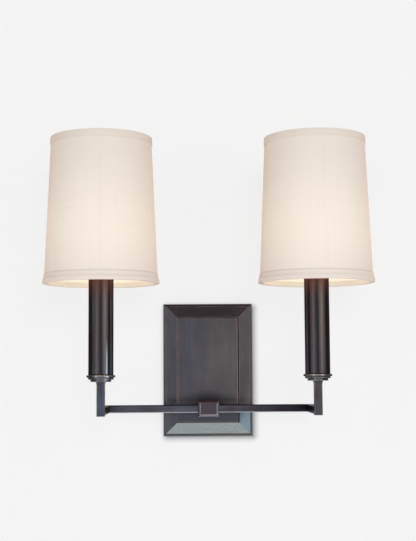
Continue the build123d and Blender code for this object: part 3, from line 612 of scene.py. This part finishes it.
def plate_bronze():
    """Bronze for the wall plate."""
    material, tree, shader, place = new_finish("bronze_plate")
    brushed_metal(tree, shader, place, "z")
    split = parts(tree, place)
    x, y, z = (split[axis] for axis in "XYZ")
    off_middle = unsigned(tree, x)
    from_side = minus(tree, PLATE_HALF_WIDTH, off_middle)
    from_end = minus(tree, PLATE_HALF_HEIGHT, unsigned(tree, z))
    inset = calc(tree, "MINIMUM", from_side, from_end)
    over_mitre = minus(tree, z, PLATE_HALF_HEIGHT - PLATE_HALF_WIDTH)
    above = calc(tree, "GREATER_THAN", over_mitre, off_middle)
    side_nearer = calc(tree, "LESS_THAN", from_side, from_end)
    to_the_right = product(tree, side_nearer, calc(tree, "GREATER_THAN", x, 0.0))
    bevel = fade(tree, inset, BEVEL_INSET - BORDER, BEVEL_INSET + BORDER)
    colour = panel_skin(tree, place, x, z)
    colour = flat_steps(tree, z, inset, above, to_the_right, colour)
    colour = bevels(tree, z, inset, bevel, colour)
    worn = worn_folds(tree, place, y, z, from_side, from_end, inset, bevel, to_the_right)
    plug(tree, shader, Base_Color=mix(tree, worn, colour, COPPER))
    return material


give(plate_bronze(), "backplate")
print("plate finished")

# %% [markdown]
# The block is cut from solid bar. Its face has a patchy painted highlight along its border on three sides,
# and its chamfers have painted reflections, grey on the right, bluish below and reddish above, so its finish
# looks at the distance to the face's border and at which way each chamfer faces.

# %% Block
BLOCK_FACE = (0.125, 0.105, 0.127, 1)
BLOCK_FACE_HALF_WIDTH = 0.0106
BLOCK_FACE_HALF_HEIGHT = 0.0076
BLOCK_RIGHT = (0.23, 0.22, 0.245, 1)
BLOCK_LOWER = (0.2, 0.205, 0.225, 1)
BLOCK_TOP = (0.09, 0.048, 0.056, 1)
BLOCK_EDGE_HIGHLIGHT = (0.62, 0.6, 0.6, 1)
OUTLINE_INSET = 0.0001
OUTLINE_HALF_WIDTH = (0.0002, 0.0005)
OUTLINE_TOP = (0.0068, 0.0074)
CHAMFER_FACING = (0.4, 0.6)
OFF_FRONT = (-0.9, -0.8)
OFF_SIDE = (-0.2, -0.5)


def block_outline(tree, place):
    """Where a painted highlight lines the block's face, open at the top."""
    split = parts(tree, place)
    height = minus(tree, split["Z"], BAR_Z)
    over_side = minus(tree, unsigned(tree, split["X"]), BLOCK_FACE_HALF_WIDTH)
    over_end = minus(tree, unsigned(tree, height), BLOCK_FACE_HALF_HEIGHT)
    over = larger(tree, over_side, over_end)
    line = near(tree, over, -OUTLINE_INSET, *OUTLINE_HALF_WIDTH)
    return product(tree, line, fade(tree, height, *OUTLINE_TOP))


def block_bronze():
    """Bronze for the bar's block: painted reflections on its chamfers, a painted highlight round its face."""
    material, tree, shader, place = new_finish("bronze_block")
    skin = bronze_skin(tree, shader, place, "x")
    facing = parts(tree, surface_normal(tree))
    chamfer = product(tree, ramp(tree, facing["Y"], *OFF_FRONT), ramp(tree, facing["Y"], *OFF_SIDE))
    right = product(tree, ramp(tree, facing["X"], *CHAMFER_FACING), chamfer)
    upper = product(tree, ramp(tree, facing["Z"], *CHAMFER_FACING), chamfer)
    lower = product(tree, ramp(tree, facing["Z"], *(-limit for limit in CHAMFER_FACING)), chamfer)
    patches = ramp(tree, cloud(tree, place, 120.0), 0.3, 0.6, 0.5, 1.0)
    colour = mix(tree, 0.75, skin, BLOCK_FACE)
    # painted reflections on the chamfers, by the way they face
    colour = mix(tree, product(tree, right, patches), colour, BLOCK_RIGHT)
    colour = mix(tree, lower, colour, BLOCK_LOWER)
    # painted highlight round the face, broken in patches
    outline = product(tree, block_outline(tree, place), patches)
    colour = mix(tree, outline, colour, BLOCK_EDGE_HIGHLIGHT)
    plug(tree, shader, Base_Color=mix(tree, upper, colour, BLOCK_TOP))
    return material


give(block_bronze(), "hub_block")
print("block finished")

# %% [markdown]
# ## Hidden metal, sockets and leads
# The strap, nuts, brackets and wires are seen from behind or below. Zinc plating is pale with a cloudy
# crystal pattern, brass and copper are drawn and slightly uneven, and the mouldings have a fine grain. One
# recipe with a colour, a second colour that drifts through it, how metallic it is, its roughness, its grain
# size and its relief covers them all.

# %% Plain metals and mouldings
def plain_finish(name, colour, drift_colour, metal, roughness, size, relief):
    """A two-tone finish with a fine relief."""
    material, tree, shader, place = new_finish(name)
    coarse = cloud(tree, place, size, 4.0)
    fine = cloud(tree, place, size * 9, 2.0)
    tone = mix(tree, ramp(tree, coarse, *MID_NOISE), (*colour, 1), (*drift_colour, 1))
    uneven = ramp(tree, fine, *MOST_NOISE, roughness * 0.85, roughness * 1.15)
    plug(tree, shader, Base_Color=tone, Metallic=metal, Roughness=uneven)
    roughen(tree, shader, fine, relief)
    return material


PLAIN_FINISHES = {
    "zinc_plate": ((0.55, 0.55, 0.53), (0.42, 0.43, 0.44), 1.0, 0.34, 130.0, 0.00002),
    "plain_brass": ((0.66, 0.47, 0.2), (0.55, 0.38, 0.15), 1.0, 0.3, 160.0, 0.00001),
    "bare_copper": ((0.62, 0.3, 0.17), (0.5, 0.22, 0.12), 1.0, 0.32, 200.0, 0.00001),
    "green_screw": ((0.02, 0.22, 0.07), (0.02, 0.16, 0.06), 0.6, 0.35, 200.0, 0.00001),
    "black_moulding": ((0.018, 0.018, 0.02), (0.03, 0.03, 0.032), 0.0, 0.35, 300.0, 0.00002),
    "black_lead": ((0.012, 0.012, 0.013), (0.02, 0.02, 0.02), 0.0, 0.5, 400.0, 0.00001),
    "white_lead": ((0.75, 0.75, 0.72), (0.66, 0.66, 0.62), 0.0, 0.5, 400.0, 0.00001),
    "white_enamel": ((0.72, 0.7, 0.64), (0.64, 0.62, 0.56), 0.0, 0.3, 260.0, 0.00003),
    "nickel_wire": ((0.6, 0.58, 0.54), (0.5, 0.48, 0.45), 1.0, 0.25, 260.0, 0.00001),
    "glass_and_tungsten": ((0.7, 0.69, 0.66), (0.6, 0.58, 0.55), 0.5, 0.3, 400.0, 0.00001),
}
IN_THE_MIDDLE = {
    "zinc_plate": ("mounting_strap", "hub_nipple", "hub_nut", "hub_lock_washer"),
    "bare_copper": ("ground_lead",),
    "green_screw": ("ground_screw",),
}
ON_EACH_SIDE = {
    "zinc_plate": ("candle_nut", "socket_bracket"),
    "plain_brass": ("candle_nipple", "socket_shell", "socket_contact", "bulb_cap"),
    "black_moulding": ("socket_body",),
    "black_lead": ("black_lead",),
    "white_lead": ("white_lead",),
    "white_enamel": ("shade_bottom_ring", "shade_top_fitter"),
    "nickel_wire": ("bulb_clip",),
    "glass_and_tungsten": ("bulb_filament",),
}

plain = {name: plain_finish(name, *recipe) for name, recipe in PLAIN_FINISHES.items()}
for name, nodes in IN_THE_MIDDLE.items():
    give(plain[name], *nodes)
for side in SIDES:
    for name, nodes in ON_EACH_SIDE.items():
        give(plain[name], *(side + "_" + node for node in nodes))
print("hidden parts finished")

# %% [markdown]
# The wire connectors are moulded with upright ribs for the fingers. The ribs are a wave of the angle round
# each connector's own axis, used as relief and to paint shade into the grooves, so one finish is made for
# the three of them.

# %% Wire connectors
CONNECTOR_X = (-0.0055, 0.0055, 0.026)
CONNECTOR_Y = -0.0086
CONNECTOR_RIBS = 14.0
CONNECTOR_GROOVE_SHADE = (0.5, 0.16, 0.02, 1)
CONNECTOR_RIB = (0.62, 0.22, 0.035, 1)


def connector_finish():
    """Orange moulded plastic with finger ribs round each connector and painted shade in the grooves."""
    material, tree, shader, place = new_finish("ribbed_connector")
    split = parts(tree, place)
    offset = minus(tree, split["X"], CONNECTOR_X[2])
    for centre in CONNECTOR_X[:2]:
        other = minus(tree, split["X"], centre)
        nearer = calc(tree, "LESS_THAN", unsigned(tree, other), unsigned(tree, offset))
        offset = add(tree, "ShaderNodeMix", {0: nearer, 2: offset, 3: other}).outputs[0]
    depth = minus(tree, split["Y"], CONNECTOR_Y)
    angle = calc(tree, "ARCTAN2", depth, offset)
    ribs = calc(tree, "SINE", product(tree, angle, CONNECTOR_RIBS))
    # painted shade in the grooves between the ribs
    tone = mix(tree, ramp(tree, ribs, -1.0, 1.0), CONNECTOR_GROOVE_SHADE, CONNECTOR_RIB)
    plug(tree, shader, Base_Color=tone, Roughness=0.42)
    roughen(tree, shader, ribs, 0.0004)
    return material


give(connector_finish(), "wire_nuts")
print("connectors finished")

# %% [markdown]
# ## Lit bulbs
# In the photograph both lamps are on: the cloth is brightest level with the bulb and the inside of each
# shade is warm. The bulb's glass is frosted, so it glows evenly, a little less towards its neck. It is a
# real light source here: its emission lights the lining, the wires and the end of the candle.

# %% Bulb glass
BULB_GLASS = (0.92, 0.88, 0.8, 1)
BULB_WARM = (1.0, 0.74, 0.42, 1)
BULB_STRENGTH = 1.8
BULB_NECK = (0.149, 0.168)
NECK_SHARE = 0.35


def bulb_finish():
    """Frosted warm glass that shines."""
    material, tree, shader, place = new_finish("frosted_bulb")
    even = ramp(tree, parts(tree, place)["Z"], *BULB_NECK, NECK_SHARE, 1.0)
    frost = ramp(tree, cloud(tree, place, 220.0, 2.0), 0.2, 0.8, BULB_STRENGTH * 0.96, BULB_STRENGTH * 1.04)
    plug(tree, shader, Base_Color=BULB_GLASS, Roughness=0.38, Emission_Color=BULB_WARM,
         Emission_Strength=product(tree, even, frost))
    return material


frosted = bulb_finish()
for side in SIDES:
    give(frosted, side + "_bulb_glass")
print("bulbs finished")

# %% [markdown]
# ## Cloth and lining
# The cloth is an off-white plain weave with slubs, thicker threads that run up and round it, and it is
# glued to a stiff lining that lets some light through. How much comes through falls off above and below the
# bulb, and that is written as emission from the height over the bulb. The lining works the other way round:
# its middle is lit by the bulb itself, and its own emission stands for the light that reaches its ends from
# the wall across and from the room. The folded trims glow a little too, most on the faces turned to the
# bulb.

# %% Light through the shade
CLOTH_GLOW = 0.183
CLOTH_FAR_SHARE = 0.34
TRIM_GLOW = {"top_edge": 0.04, "bottom_edge": 0.11}
FLAP_GLOW = 0.25
FLAP_FACING = (-0.01, -0.04)
LINING_GLOW = 0.02
LINING_HEM_GLOW = 0.46
LINING = (0.83, 0.8, 0.73, 1)
LINING_PALE = (0.87, 0.84, 0.77, 1)
LINING_LIGHT = (1.0, 0.93, 0.78, 1)
GLOW_MIDDLE_Z = 0.158
GLOW_REACH = 0.105


def glow_through(tree, height, strength, far_strength, below):
    """Emission that is strength level with the bulb, and far_strength from GLOW_REACH above it.

    Below the bulb it changes faster, by the factor below.
    """
    over = minus(tree, height, GLOW_MIDDLE_Z)
    away = larger(tree, over, product(tree, over, -below))
    return ramp(tree, away, 0.0, GLOW_REACH, strength, far_strength)


def faces_axis(tree, place, side):
    """1 where a surface faces its candle's axis, which is where the bulb lights it."""
    axis_point = (SIDES[side] * CANDLE_X, CANDLE_Y, 0)
    offset = add(tree, "ShaderNodeVectorMath", {0: place, 1: axis_point}, operation="SUBTRACT").outputs[0]
    level = add(tree, "ShaderNodeVectorMath", {0: offset, 1: (1, 1, 0)}, operation="MULTIPLY").outputs[0]
    outward = add(tree, "ShaderNodeVectorMath", {0: level, 1: surface_normal(tree)}, operation="DOT_PRODUCT")
    return ramp(tree, outward.outputs["Value"], *FLAP_FACING)


def lining_finish():
    """Smooth warm lining with a glow of its own near its ends."""
    material, tree, shader, place = new_finish("lining")
    tone = mix(tree, cloud(tree, place, 60.0), LINING, LINING_PALE)
    glow = glow_through(tree, parts(tree, place)["Z"], LINING_GLOW, LINING_HEM_GLOW, below=1.9)
    plug(tree, shader, Base_Color=tone, Roughness=0.55, Emission_Color=LINING_LIGHT, Emission_Strength=glow)
    return material


lining = lining_finish()
for side in SIDES:
    give(lining, side + "_shade_backing")
print("lining finished")

# %% [markdown]
# Weave and slubs follow the cloth, so they read a UV map in metres: u runs round the shade and v up it. The
# weave is two waves at right angles, used as relief only, because the threads are too fine to be seen one
# by one. Close to each trim a fine line of painted shade runs along its edge, where the glow is dimmed too,
# and the cover has a lapped seam in front.

# %% Cloth finish
CLOTH = (0.81, 0.74, 0.665, 1)
CLOTH_SHADE = (0.795, 0.725, 0.652, 1)
CLOTH_LIGHT = (1.0, 0.86, 0.66, 1)
CLOTH_SHEEN = (1.0, 0.47, 0.2, 1)
CLOTH_RELIEF = 0.00012
THREADS_PER_METRE = 1500.0
SLUB_RANGE = (0.36, 0.64)
SEAM_ANGLE = {"left": math.radians(4.0), "right": math.radians(4.5)}
SEAM_WIDTH = 0.006
TRIM_EDGE_SHADE = (0.62, 0.54, 0.46, 1)
TRIM_EDGE_SHADE_LINES = ((SHADE_BOTTOM_Z + 0.0109, 0.5), (SHADE_TOP_Z - 0.0085, 0.25))
TRIM_EDGE_SHADE_HALF_WIDTH = (0.0003, 0.0009)


def seam_and_trim_shade(tree, height, across, tone, shine, relief):
    """Draw painted shade along the trims' edges and the lapped seam over a cover's tone, shine and relief."""
    # painted shade along each trim's edge, with the glow dimmed there
    for shade_z, share in TRIM_EDGE_SHADE_LINES:
        line = near(tree, height, shade_z, *TRIM_EDGE_SHADE_HALF_WIDTH, share)
        tone = mix(tree, line, tone, TRIM_EDGE_SHADE)
        shine = product(tree, shine, minus(tree, 1.0, line))
    lap = fade(tree, across, SEAM_WIDTH * 0.42, SEAM_WIDTH * 0.5)
    tone = mix(tree, product(tree, lap, 0.2), tone, CLOTH_SHADE)
    shine = product(tree, shine, ramp(tree, lap, 0.0, 1.0, 1.0, 0.94))
    return tone, shine, plus(tree, relief, product(tree, lap, 1.2))


def cloth_finish(name, strength, side, seam=None):
    """Plain weave cloth: a cover's when the seam's place along u is given, and a trim's without."""
    material, tree, shader, place = new_finish(name)
    flat = add(tree, "ShaderNodeUVMap", uv_map="cloth").outputs[0]
    run = parts(tree, flat)
    threads = THREADS_PER_METRE * math.tau
    warp, weft = (calc(tree, "SINE", product(tree, run[axis], threads)) for axis in "XY")
    slubs = [grain(tree, flat, stretch, 1.0) for stretch in ((300, 8, 1), (10, 420, 1))]
    slubs = product(tree, plus(tree, *slubs), 0.5)
    mottle = ramp(tree, cloud(tree, flat, 26.0, 2.0), 0.35, 0.7, 0.0, 0.35)
    tone = mix(tree, ramp(tree, slubs, *SLUB_RANGE), CLOTH_SHADE, CLOTH)
    tone = mix(tree, mottle, tone, CLOTH_SHADE)
    height = parts(tree, place)["Z"]
    shine = glow_through(tree, height, strength, strength * CLOTH_FAR_SHARE, below=1.3)
    shine = product(tree, shine, ramp(tree, slubs, *SLUB_RANGE, 0.96, 1.03))
    relief = plus(tree, product(tree, warp, weft, 0.3), product(tree, slubs, 0.8))
    if seam is None:
        shine = plus(tree, shine, product(tree, faces_axis(tree, place, side), FLAP_GLOW))
    else:
        across = distance_to(tree, run["X"], seam)
        tone, shine, relief = seam_and_trim_shade(tree, height, across, tone, shine, relief)
    plug(tree, shader, Base_Color=tone, Roughness=0.88, Sheen_Weight=0.35, Sheen_Roughness=0.5,
         Sheen_Tint=CLOTH_SHEEN, Emission_Color=CLOTH_LIGHT, Emission_Strength=shine)
    roughen(tree, shader, relief, CLOTH_RELIEF)
    return material


print("cloth finish ready")

# %% [markdown]
# ## Cloth of the shades
# The cover is one curved strip of cloth stretched round the lining. It is made as the real one is: a
# straight line is spun round the candle's axis into a cone, the wall gets its thickness inwards, and the UV
# map unrolls it. The upper and lower ends lie under the folded trims.

# %% Spinning a profile round a candle
AROUND = 120
MERGE_DISTANCE = 0.000001


def spun_profile(profile, centre_x, closed):
    """Spin (radius, z) points round a candle's axis into a bmesh."""
    shape = bmesh.new()
    ring = [shape.verts.new((centre_x, CANDLE_Y - radius, z)) for radius, z in profile]
    pairs = list(zip(ring, ring[1:]))
    if closed:
        pairs.append((ring[-1], ring[0]))
    edges = [shape.edges.new(pair) for pair in pairs]
    bmesh.ops.spin(shape, geom=ring + edges, cent=(centre_x, CANDLE_Y, 0), axis=(0, 0, 1), angle=math.tau,
                   steps=AROUND, use_merge=True)
    bmesh.ops.remove_doubles(shape, verts=shape.verts, dist=MERGE_DISTANCE)
    return shape


def unroll(shape, centre_x):
    """UV map in metres: u round the shade from its front, v up it."""
    layer = shape.loops.layers.uv.new("cloth")
    for face in shape.faces:
        middle = face.calc_center_median()
        around = math.atan2(middle.x - centre_x, CANDLE_Y - middle.y)
        for loop in face.loops:
            spot = loop.vert.co
            angle = math.atan2(spot.x - centre_x, CANDLE_Y - spot.y)
            angle += math.tau * round((around - angle) / math.tau)
            loop[layer].uv = (angle * SHADE_BOTTOM_RADIUS, spot.z)


def as_piece(shape, name, finish, body):
    """Turn a bmesh into a smooth piece that rides on a body."""
    mesh = bpy.data.meshes.new(name)
    shape.to_mesh(mesh)
    shape.free()
    mesh.materials.append(finish)
    mesh.polygons.foreach_set("use_smooth", [True] * len(mesh.polygons))
    piece = bpy.data.objects.new(name, mesh)
    bpy.context.collection.objects.link(piece)
    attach(piece, body)
    return piece


def face_outwards(shape, centre_x):
    """Turn every face of an open cone away from its axis."""
    bmesh.ops.recalc_face_normals(shape, faces=shape.faces)
    first = next(iter(shape.faces))
    middle = first.calc_center_median()
    outward = Vector((middle.x - centre_x, middle.y - CANDLE_Y, 0))
    if first.normal.dot(outward) < 0:
        bmesh.ops.reverse_faces(shape, faces=shape.faces)


print("spin helper ready")

# %% [markdown]
# The profile has a point about every 20 mm, so that the relief and the light have faces to work on, and the
# wall is thickened with a Solidify modifier, which keeps the outside where it is. A smooth surface turns
# its normals gradually towards an edge, so one more ring close to each end keeps that turn under the trims.

# %% Cloth covers
CLOTH_THICKNESS = 0.00045
COVER_STEPS = 8
COVER_LOW = SHADE_BOTTOM_Z + 0.0005
COVER_HIGH = SHADE_TOP_Z - 0.0005
SUPPORT = 0.00045

for side, sign in SIDES.items():
    candle_x = sign * CANDLE_X
    step_height = (COVER_HIGH - COVER_LOW) / COVER_STEPS
    heights = [COVER_LOW + step_height * step for step in range(1, COVER_STEPS)]
    heights = [COVER_LOW, COVER_LOW + SUPPORT, *heights, COVER_HIGH - SUPPORT, COVER_HIGH]
    cone = spun_profile([(shade_radius(z), z) for z in heights], candle_x, closed=False)
    face_outwards(cone, candle_x)
    unroll(cone, candle_x)
    finish = cloth_finish("cloth_" + side, CLOTH_GLOW, side, SEAM_ANGLE[side] * SHADE_BOTTOM_RADIUS)
    cover = as_piece(cone, side + "_shade_cover", finish, side + "_shade")
    wall = cover.modifiers.new("thickness", "SOLIDIFY")
    wall.thickness = CLOTH_THICKNESS
    wall.offset = -1
    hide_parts(side + "_shade_fabric")
print("covers", round(1000 * (COVER_HIGH - COVER_LOW)), "mm high")

# %% [markdown]
# ## Folded trims
# Both edges are bound with tape of the same cloth, folded over the wire ring and glued. The lower one is
# folded twice, which makes a thicker hem along its lower half. Each is a closed profile, spun, with its
# corners rounded by a bevel so that the folds look soft. A profile's points are written as a height over or
# under the cloth's edge and an offset outwards from the cloth's face. A trim's inner flap lies against the
# inside of the ring.

# %% Trim profiles
TRIM_LAYER = 0.0004
TUCK = 0.006
SHADE_WALL = 0.001
RING_WIDTH = 0.0026
RING_GAP = 0.00015
FLAP_OUTER = -(SHADE_WALL + RING_WIDTH + 3 * RING_GAP)
FLAP_INNER = FLAP_OUTER - TRIM_LAYER
ON_CLOTH = 0.00002
TOP_HEIGHT = 0.008
BAND_HEIGHT = 0.0104
HEM_HEIGHT = 0.005
HEM_STEP = 0.0001
TAPE_PROUD = 0.0007
TAPE_CROWN = 0.0009
TOP_CORNER = 0.0008
HEM_PROUD = 0.0018
HEM_CROWN = 0.002


def profile_points(*points):
    """Profile points (radius, z) from pairs of a height and an offset outwards from the cloth."""
    return [(shade_radius(z) + offset, z) for z, offset in points]


def top_profile():
    """Tape over the top edge: down 8 mm outside and 6 mm inside."""
    edge = SHADE_TOP_Z
    foot = edge - TOP_HEIGHT
    return profile_points((foot, ON_CLOTH), (foot, TAPE_PROUD), (foot + TOP_HEIGHT / 2, TAPE_CROWN),
                          (edge, TOP_CORNER), (edge, FLAP_INNER), (edge - TUCK, FLAP_INNER),
                          (edge - TUCK, FLAP_OUTER), (edge - TRIM_LAYER, FLAP_OUTER),
                          (edge - TRIM_LAYER, ON_CLOTH))


def bottom_profile():
    """Tape under the bottom edge: a band 10.4 mm high with a thicker hem in its lower half."""
    edge = SHADE_BOTTOM_Z
    hem = edge + HEM_HEIGHT
    return profile_points((edge + BAND_HEIGHT, ON_CLOTH), (edge + BAND_HEIGHT, TAPE_PROUD),
                          (hem + HEM_STEP, TAPE_CROWN), (hem - HEM_STEP, HEM_PROUD),
                          (edge + HEM_HEIGHT / 2, HEM_CROWN), (edge, HEM_PROUD),
                          (edge, FLAP_INNER), (edge + TUCK, FLAP_INNER),
                          (edge + TUCK, FLAP_OUTER), (edge + TRIM_LAYER, FLAP_OUTER),
                          (edge + TRIM_LAYER, ON_CLOTH))


print("trim profiles", len(top_profile()), "and", len(bottom_profile()), "points")

# %% Trims
FOLD_ROUNDING = 0.00022
SHARP = math.radians(35)
LEVEL = 0.000001


def supported(profile):
    """A closed profile with two more points on each long run, close to its ends, so that it shades flat."""
    points = []
    for start, end in zip(profile, profile[1:] + profile[:1]):
        points.append(start)
        run = math.dist(start, end)
        if run > 3 * SUPPORT:
            for share in (SUPPORT / run, 1 - SUPPORT / run):
                points.append(tuple(a + (b - a) * share for a, b in zip(start, end)))
    return points


def round_folds(shape):
    """Bevel the fold lines that run round the trim."""
    shape.normal_update()
    folds = [edge for edge in shape.edges
             if abs(edge.verts[0].co.z - edge.verts[1].co.z) < LEVEL and edge.calc_face_angle(0) > SHARP]
    bmesh.ops.bevel(shape, geom=folds, offset=FOLD_ROUNDING, affect="EDGES", segments=2, profile=0.5,
                    material=-1, clamp_overlap=True)


def make_trim(name, profile, side):
    """One folded trim of a shade."""
    candle_x = SIDES[side] * CANDLE_X
    shape = spun_profile(supported(profile), candle_x, closed=True)
    bmesh.ops.recalc_face_normals(shape, faces=shape.faces)
    round_folds(shape)
    unroll(shape, candle_x)
    finish = cloth_finish(name + "_cloth_" + side, TRIM_GLOW[name], side)
    trim = as_piece(shape, side + "_" + name, finish, side + "_shade")
    return trim


for side in SIDES:
    top = make_trim("top_edge", top_profile(), side)
    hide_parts(side + "_shade_top_trim")
    bottom = make_trim("bottom_edge", bottom_profile(), side)
    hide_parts(side + "_shade_bottom_trim")
print("trims finished")

# %% [markdown]
# ## Wall and floor
# The lamp hangs on a pale wall, with a pale floor far below. The wall's front shows the background's colour
# to the camera and in reflections, mixed with a share of real light, which is where the lamp's soft shadow
# comes from. The darker line close round the plate is too fine for that share, so it is drawn on the wall
# from the distance to the plate's outline, wider to the right and below. The wall is clear from behind and
# the floor from below, so that those views show the parts inside the plate and the shades.

# %% Stage helpers
def stage_sheet(name, corners, finish):
    """A flat stage piece from its corners."""
    shape = bmesh.new()
    shape.faces.new([shape.verts.new(corner) for corner in corners])
    mesh = bpy.data.meshes.new(name)
    shape.to_mesh(mesh)
    shape.free()
    mesh.materials.append(finish)
    sheet = bpy.data.objects.new(name, mesh)
    bpy.context.collection.objects.link(sheet)


def clear_from_behind(tree, front):
    """Show a surface from its front only."""
    clear = add(tree, "ShaderNodeBsdfTransparent")
    behind = add(tree, "ShaderNodeNewGeometry").outputs["Backfacing"]
    whole = add(tree, "ShaderNodeMixShader", {0: behind, 1: front, 2: clear.outputs[0]})
    tree.links.new(whole.outputs[0], tree.nodes["Material Output"].inputs["Surface"])


print("stage helpers ready")

# %% Wall finish
WALL_COLOUR = (0.905, 0.905, 0.905, 1)
WALL_DRIFT = (0.9, 0.9, 0.9, 1)
WALL_SHOWN = (0.917, 0.917, 0.917, 1)
SHADOW_SHARE = 0.16
CLOSE_SHADOW = (0.15, 0.15, 0.15, 1)
CLOSE_SHADOW_REACH = 0.011
CLOSE_SHADOW_FALL = 1.8
CLOSE_SHADOW_DEPTH = 0.95
SHADOW_LEANS = {"X": 1.0, "Z": -1.0}
SHORT_SIDE_LOSS = 0.5


def outside_of(tree, value, half, lean):
    """How far outside -half..half a coordinate is, in shadow reaches; lean is the sign of the wider side."""
    leaned = product(tree, value, lean)
    wide = calc(tree, "DIVIDE", minus(tree, leaned, half), CLOSE_SHADOW_REACH)
    other = minus(tree, product(tree, leaned, -1.0), half)
    short = plus(tree, calc(tree, "DIVIDE", other, CLOSE_SHADOW_REACH), SHORT_SIDE_LOSS)
    return larger(tree, larger(tree, wide, short), 0.0)


def close_shadow(tree, place):
    """Depth of the dark line round the plate, 0 beyond its reach."""
    split = parts(tree, place)
    beside = outside_of(tree, split["X"], PLATE_HALF_WIDTH, SHADOW_LEANS["X"])
    below = outside_of(tree, split["Z"], PLATE_HALF_HEIGHT, SHADOW_LEANS["Z"])
    squares = plus(tree, product(tree, beside, beside), product(tree, below, below))
    left_over = minus(tree, 1.0, calc(tree, "SQRT", squares))
    depth = calc(tree, "POWER", larger(tree, left_over, 0.0), CLOSE_SHADOW_FALL)
    return product(tree, depth, CLOSE_SHADOW_DEPTH)


def wall_finish():
    """Pale wall: even to the eye, with a share of real light and shadow, and clear from behind."""
    material, tree, shader, place = new_finish("pale_wall")
    colour = mix(tree, cloud(tree, place, 40.0), WALL_COLOUR, WALL_DRIFT)
    plug(tree, shader, Base_Color=colour, Roughness=0.9, Specular_IOR_Level=0.2)
    shown = mix(tree, close_shadow(tree, place), WALL_SHOWN, CLOSE_SHADOW)
    even = add(tree, "ShaderNodeEmission", {"Color": shown, "Strength": 1.0})
    path = add(tree, "ShaderNodeLightPath").outputs
    seen = plus(tree, path["Is Camera Ray"], path["Is Glossy Ray"])
    seen = calc(tree, "MINIMUM", plus(tree, seen, path["Is Transmission Ray"]), 1.0)
    share = product(tree, seen, 1 - SHADOW_SHARE)
    front = add(tree, "ShaderNodeMixShader", {0: share, 1: shader.outputs[0], 2: even.outputs[0]})
    clear_from_behind(tree, front.outputs[0])
    return material


print("wall finish ready")

# %% Wall and floor
WALL_Y = 0.0006
STAGE_HALF = 4.0
FLOOR_Z = -1.5
FLOOR_COLOUR = (0.86, 0.86, 0.86, 1)
FLOOR_DRIFT = (0.9, 0.9, 0.9, 1)


def floor_finish():
    """Pale matt floor, clear from below."""
    material, tree, shader, place = new_finish("pale_floor")
    colour = mix(tree, cloud(tree, place, 3.0), FLOOR_COLOUR, FLOOR_DRIFT)
    plug(tree, shader, Base_Color=colour, Roughness=0.9)
    clear_from_behind(tree, shader.outputs[0])
    return material


AROUND_SHEET = ((-STAGE_HALF, 0), (STAGE_HALF, 0), (STAGE_HALF, 1), (-STAGE_HALF, 1))
wall_corners = [(x, WALL_Y, STAGE_HALF if far else FLOOR_Z) for x, far in AROUND_SHEET]
floor_corners = [(x, STAGE_HALF if far else -STAGE_HALF, FLOOR_Z) for x, far in AROUND_SHEET]
stage_sheet("wall", wall_corners, wall_finish())
stage_sheet("floor", floor_corners, floor_finish())
print("stage ready")

# %% [markdown]
# ## Light
# A soft box over the camera lights both shades from in front, so that they darken towards their sides. It
# is kept out of reflections, because the photograph's plate shows no bright patch from straight ahead. Two
# tall, narrow ones stand left and right of it and light the two upright bands on the candles, which are
# painted in as well. A low one brightens everything that faces down.

# %% Lamps
SIDE_BOX_AZIMUTH = math.radians(38)
SIDE_BOX_DISTANCE = 1.9
SIDE_BOX_Z = 0.25
SIDE_BOX_SIZE = (0.3, 2.0)
SIDE_BOX_POWER = 4.2
FRONT_BOX_PLACE = (0.3, -2.6, 0.55)
FRONT_BOX_SIZE = (0.9, 0.7)
FRONT_BOX_POWER = 17
LOW_BOX_PLACE = (0.0, -1.0, -1.15)
LOW_BOX_SIZE = (1.6, 0.9)
LOW_BOX_POWER = 5
LIGHT_TARGET = Vector((0, -0.1, 0.08))


def soft_box(name, place, size, power, mirrored=True):
    """A rectangular area light aimed at the lamp; metal shows it only if it is mirrored."""
    light = bpy.data.lights.new(name, "AREA")
    light.shape = "RECTANGLE"
    light.size, light.size_y = size
    light.energy = power
    box = bpy.data.objects.new(name, light)
    bpy.context.collection.objects.link(box)
    box.visible_glossy = mirrored
    box.location = place
    box.rotation_euler = (LIGHT_TARGET - Vector(place)).to_track_quat("-Z", "Y").to_euler()


for side, sign in SIDES.items():
    box_x = sign * SIDE_BOX_DISTANCE * math.sin(SIDE_BOX_AZIMUTH)
    box_y = CANDLE_Y - SIDE_BOX_DISTANCE * math.cos(SIDE_BOX_AZIMUTH)
    soft_box("soft_box_" + side, (box_x, box_y, SIDE_BOX_Z), SIDE_BOX_SIZE, SIDE_BOX_POWER)
soft_box("soft_box_front", FRONT_BOX_PLACE, FRONT_BOX_SIZE, FRONT_BOX_POWER, mirrored=False)
soft_box("soft_box_low", LOW_BOX_PLACE, LOW_BOX_SIZE, LOW_BOX_POWER)
print("lamps ready")

# %% [markdown]
# The world is a plain gradient, darker overhead, which the upper bevel of the plate mirrors over its painted
# dark reflection, and lighter underfoot, as over a pale floor.

# %% World
WORLD_TOP = (0.22, 0.21, 0.21, 1)
WORLD_LEVEL = (0.62, 0.62, 0.63, 1)
WORLD_FLOOR = (0.85, 0.86, 0.85, 1)
OVERHEAD = (0.05, 0.75)
UNDERFOOT = (-0.1, -0.7)

world = bpy.data.worlds.new("studio")
bpy.context.scene.world = world
world.use_nodes = True
sky = world.node_tree
direction = parts(sky, add(sky, "ShaderNodeTexCoord").outputs["Generated"])["Z"]
tint = mix(sky, ramp(sky, direction, *OVERHEAD), WORLD_LEVEL, WORLD_TOP)
tint = mix(sky, ramp(sky, direction, *UNDERFOOT), tint, WORLD_FLOOR)
sky.links.new(tint, sky.nodes["Background"].inputs["Color"])
print("world ready")
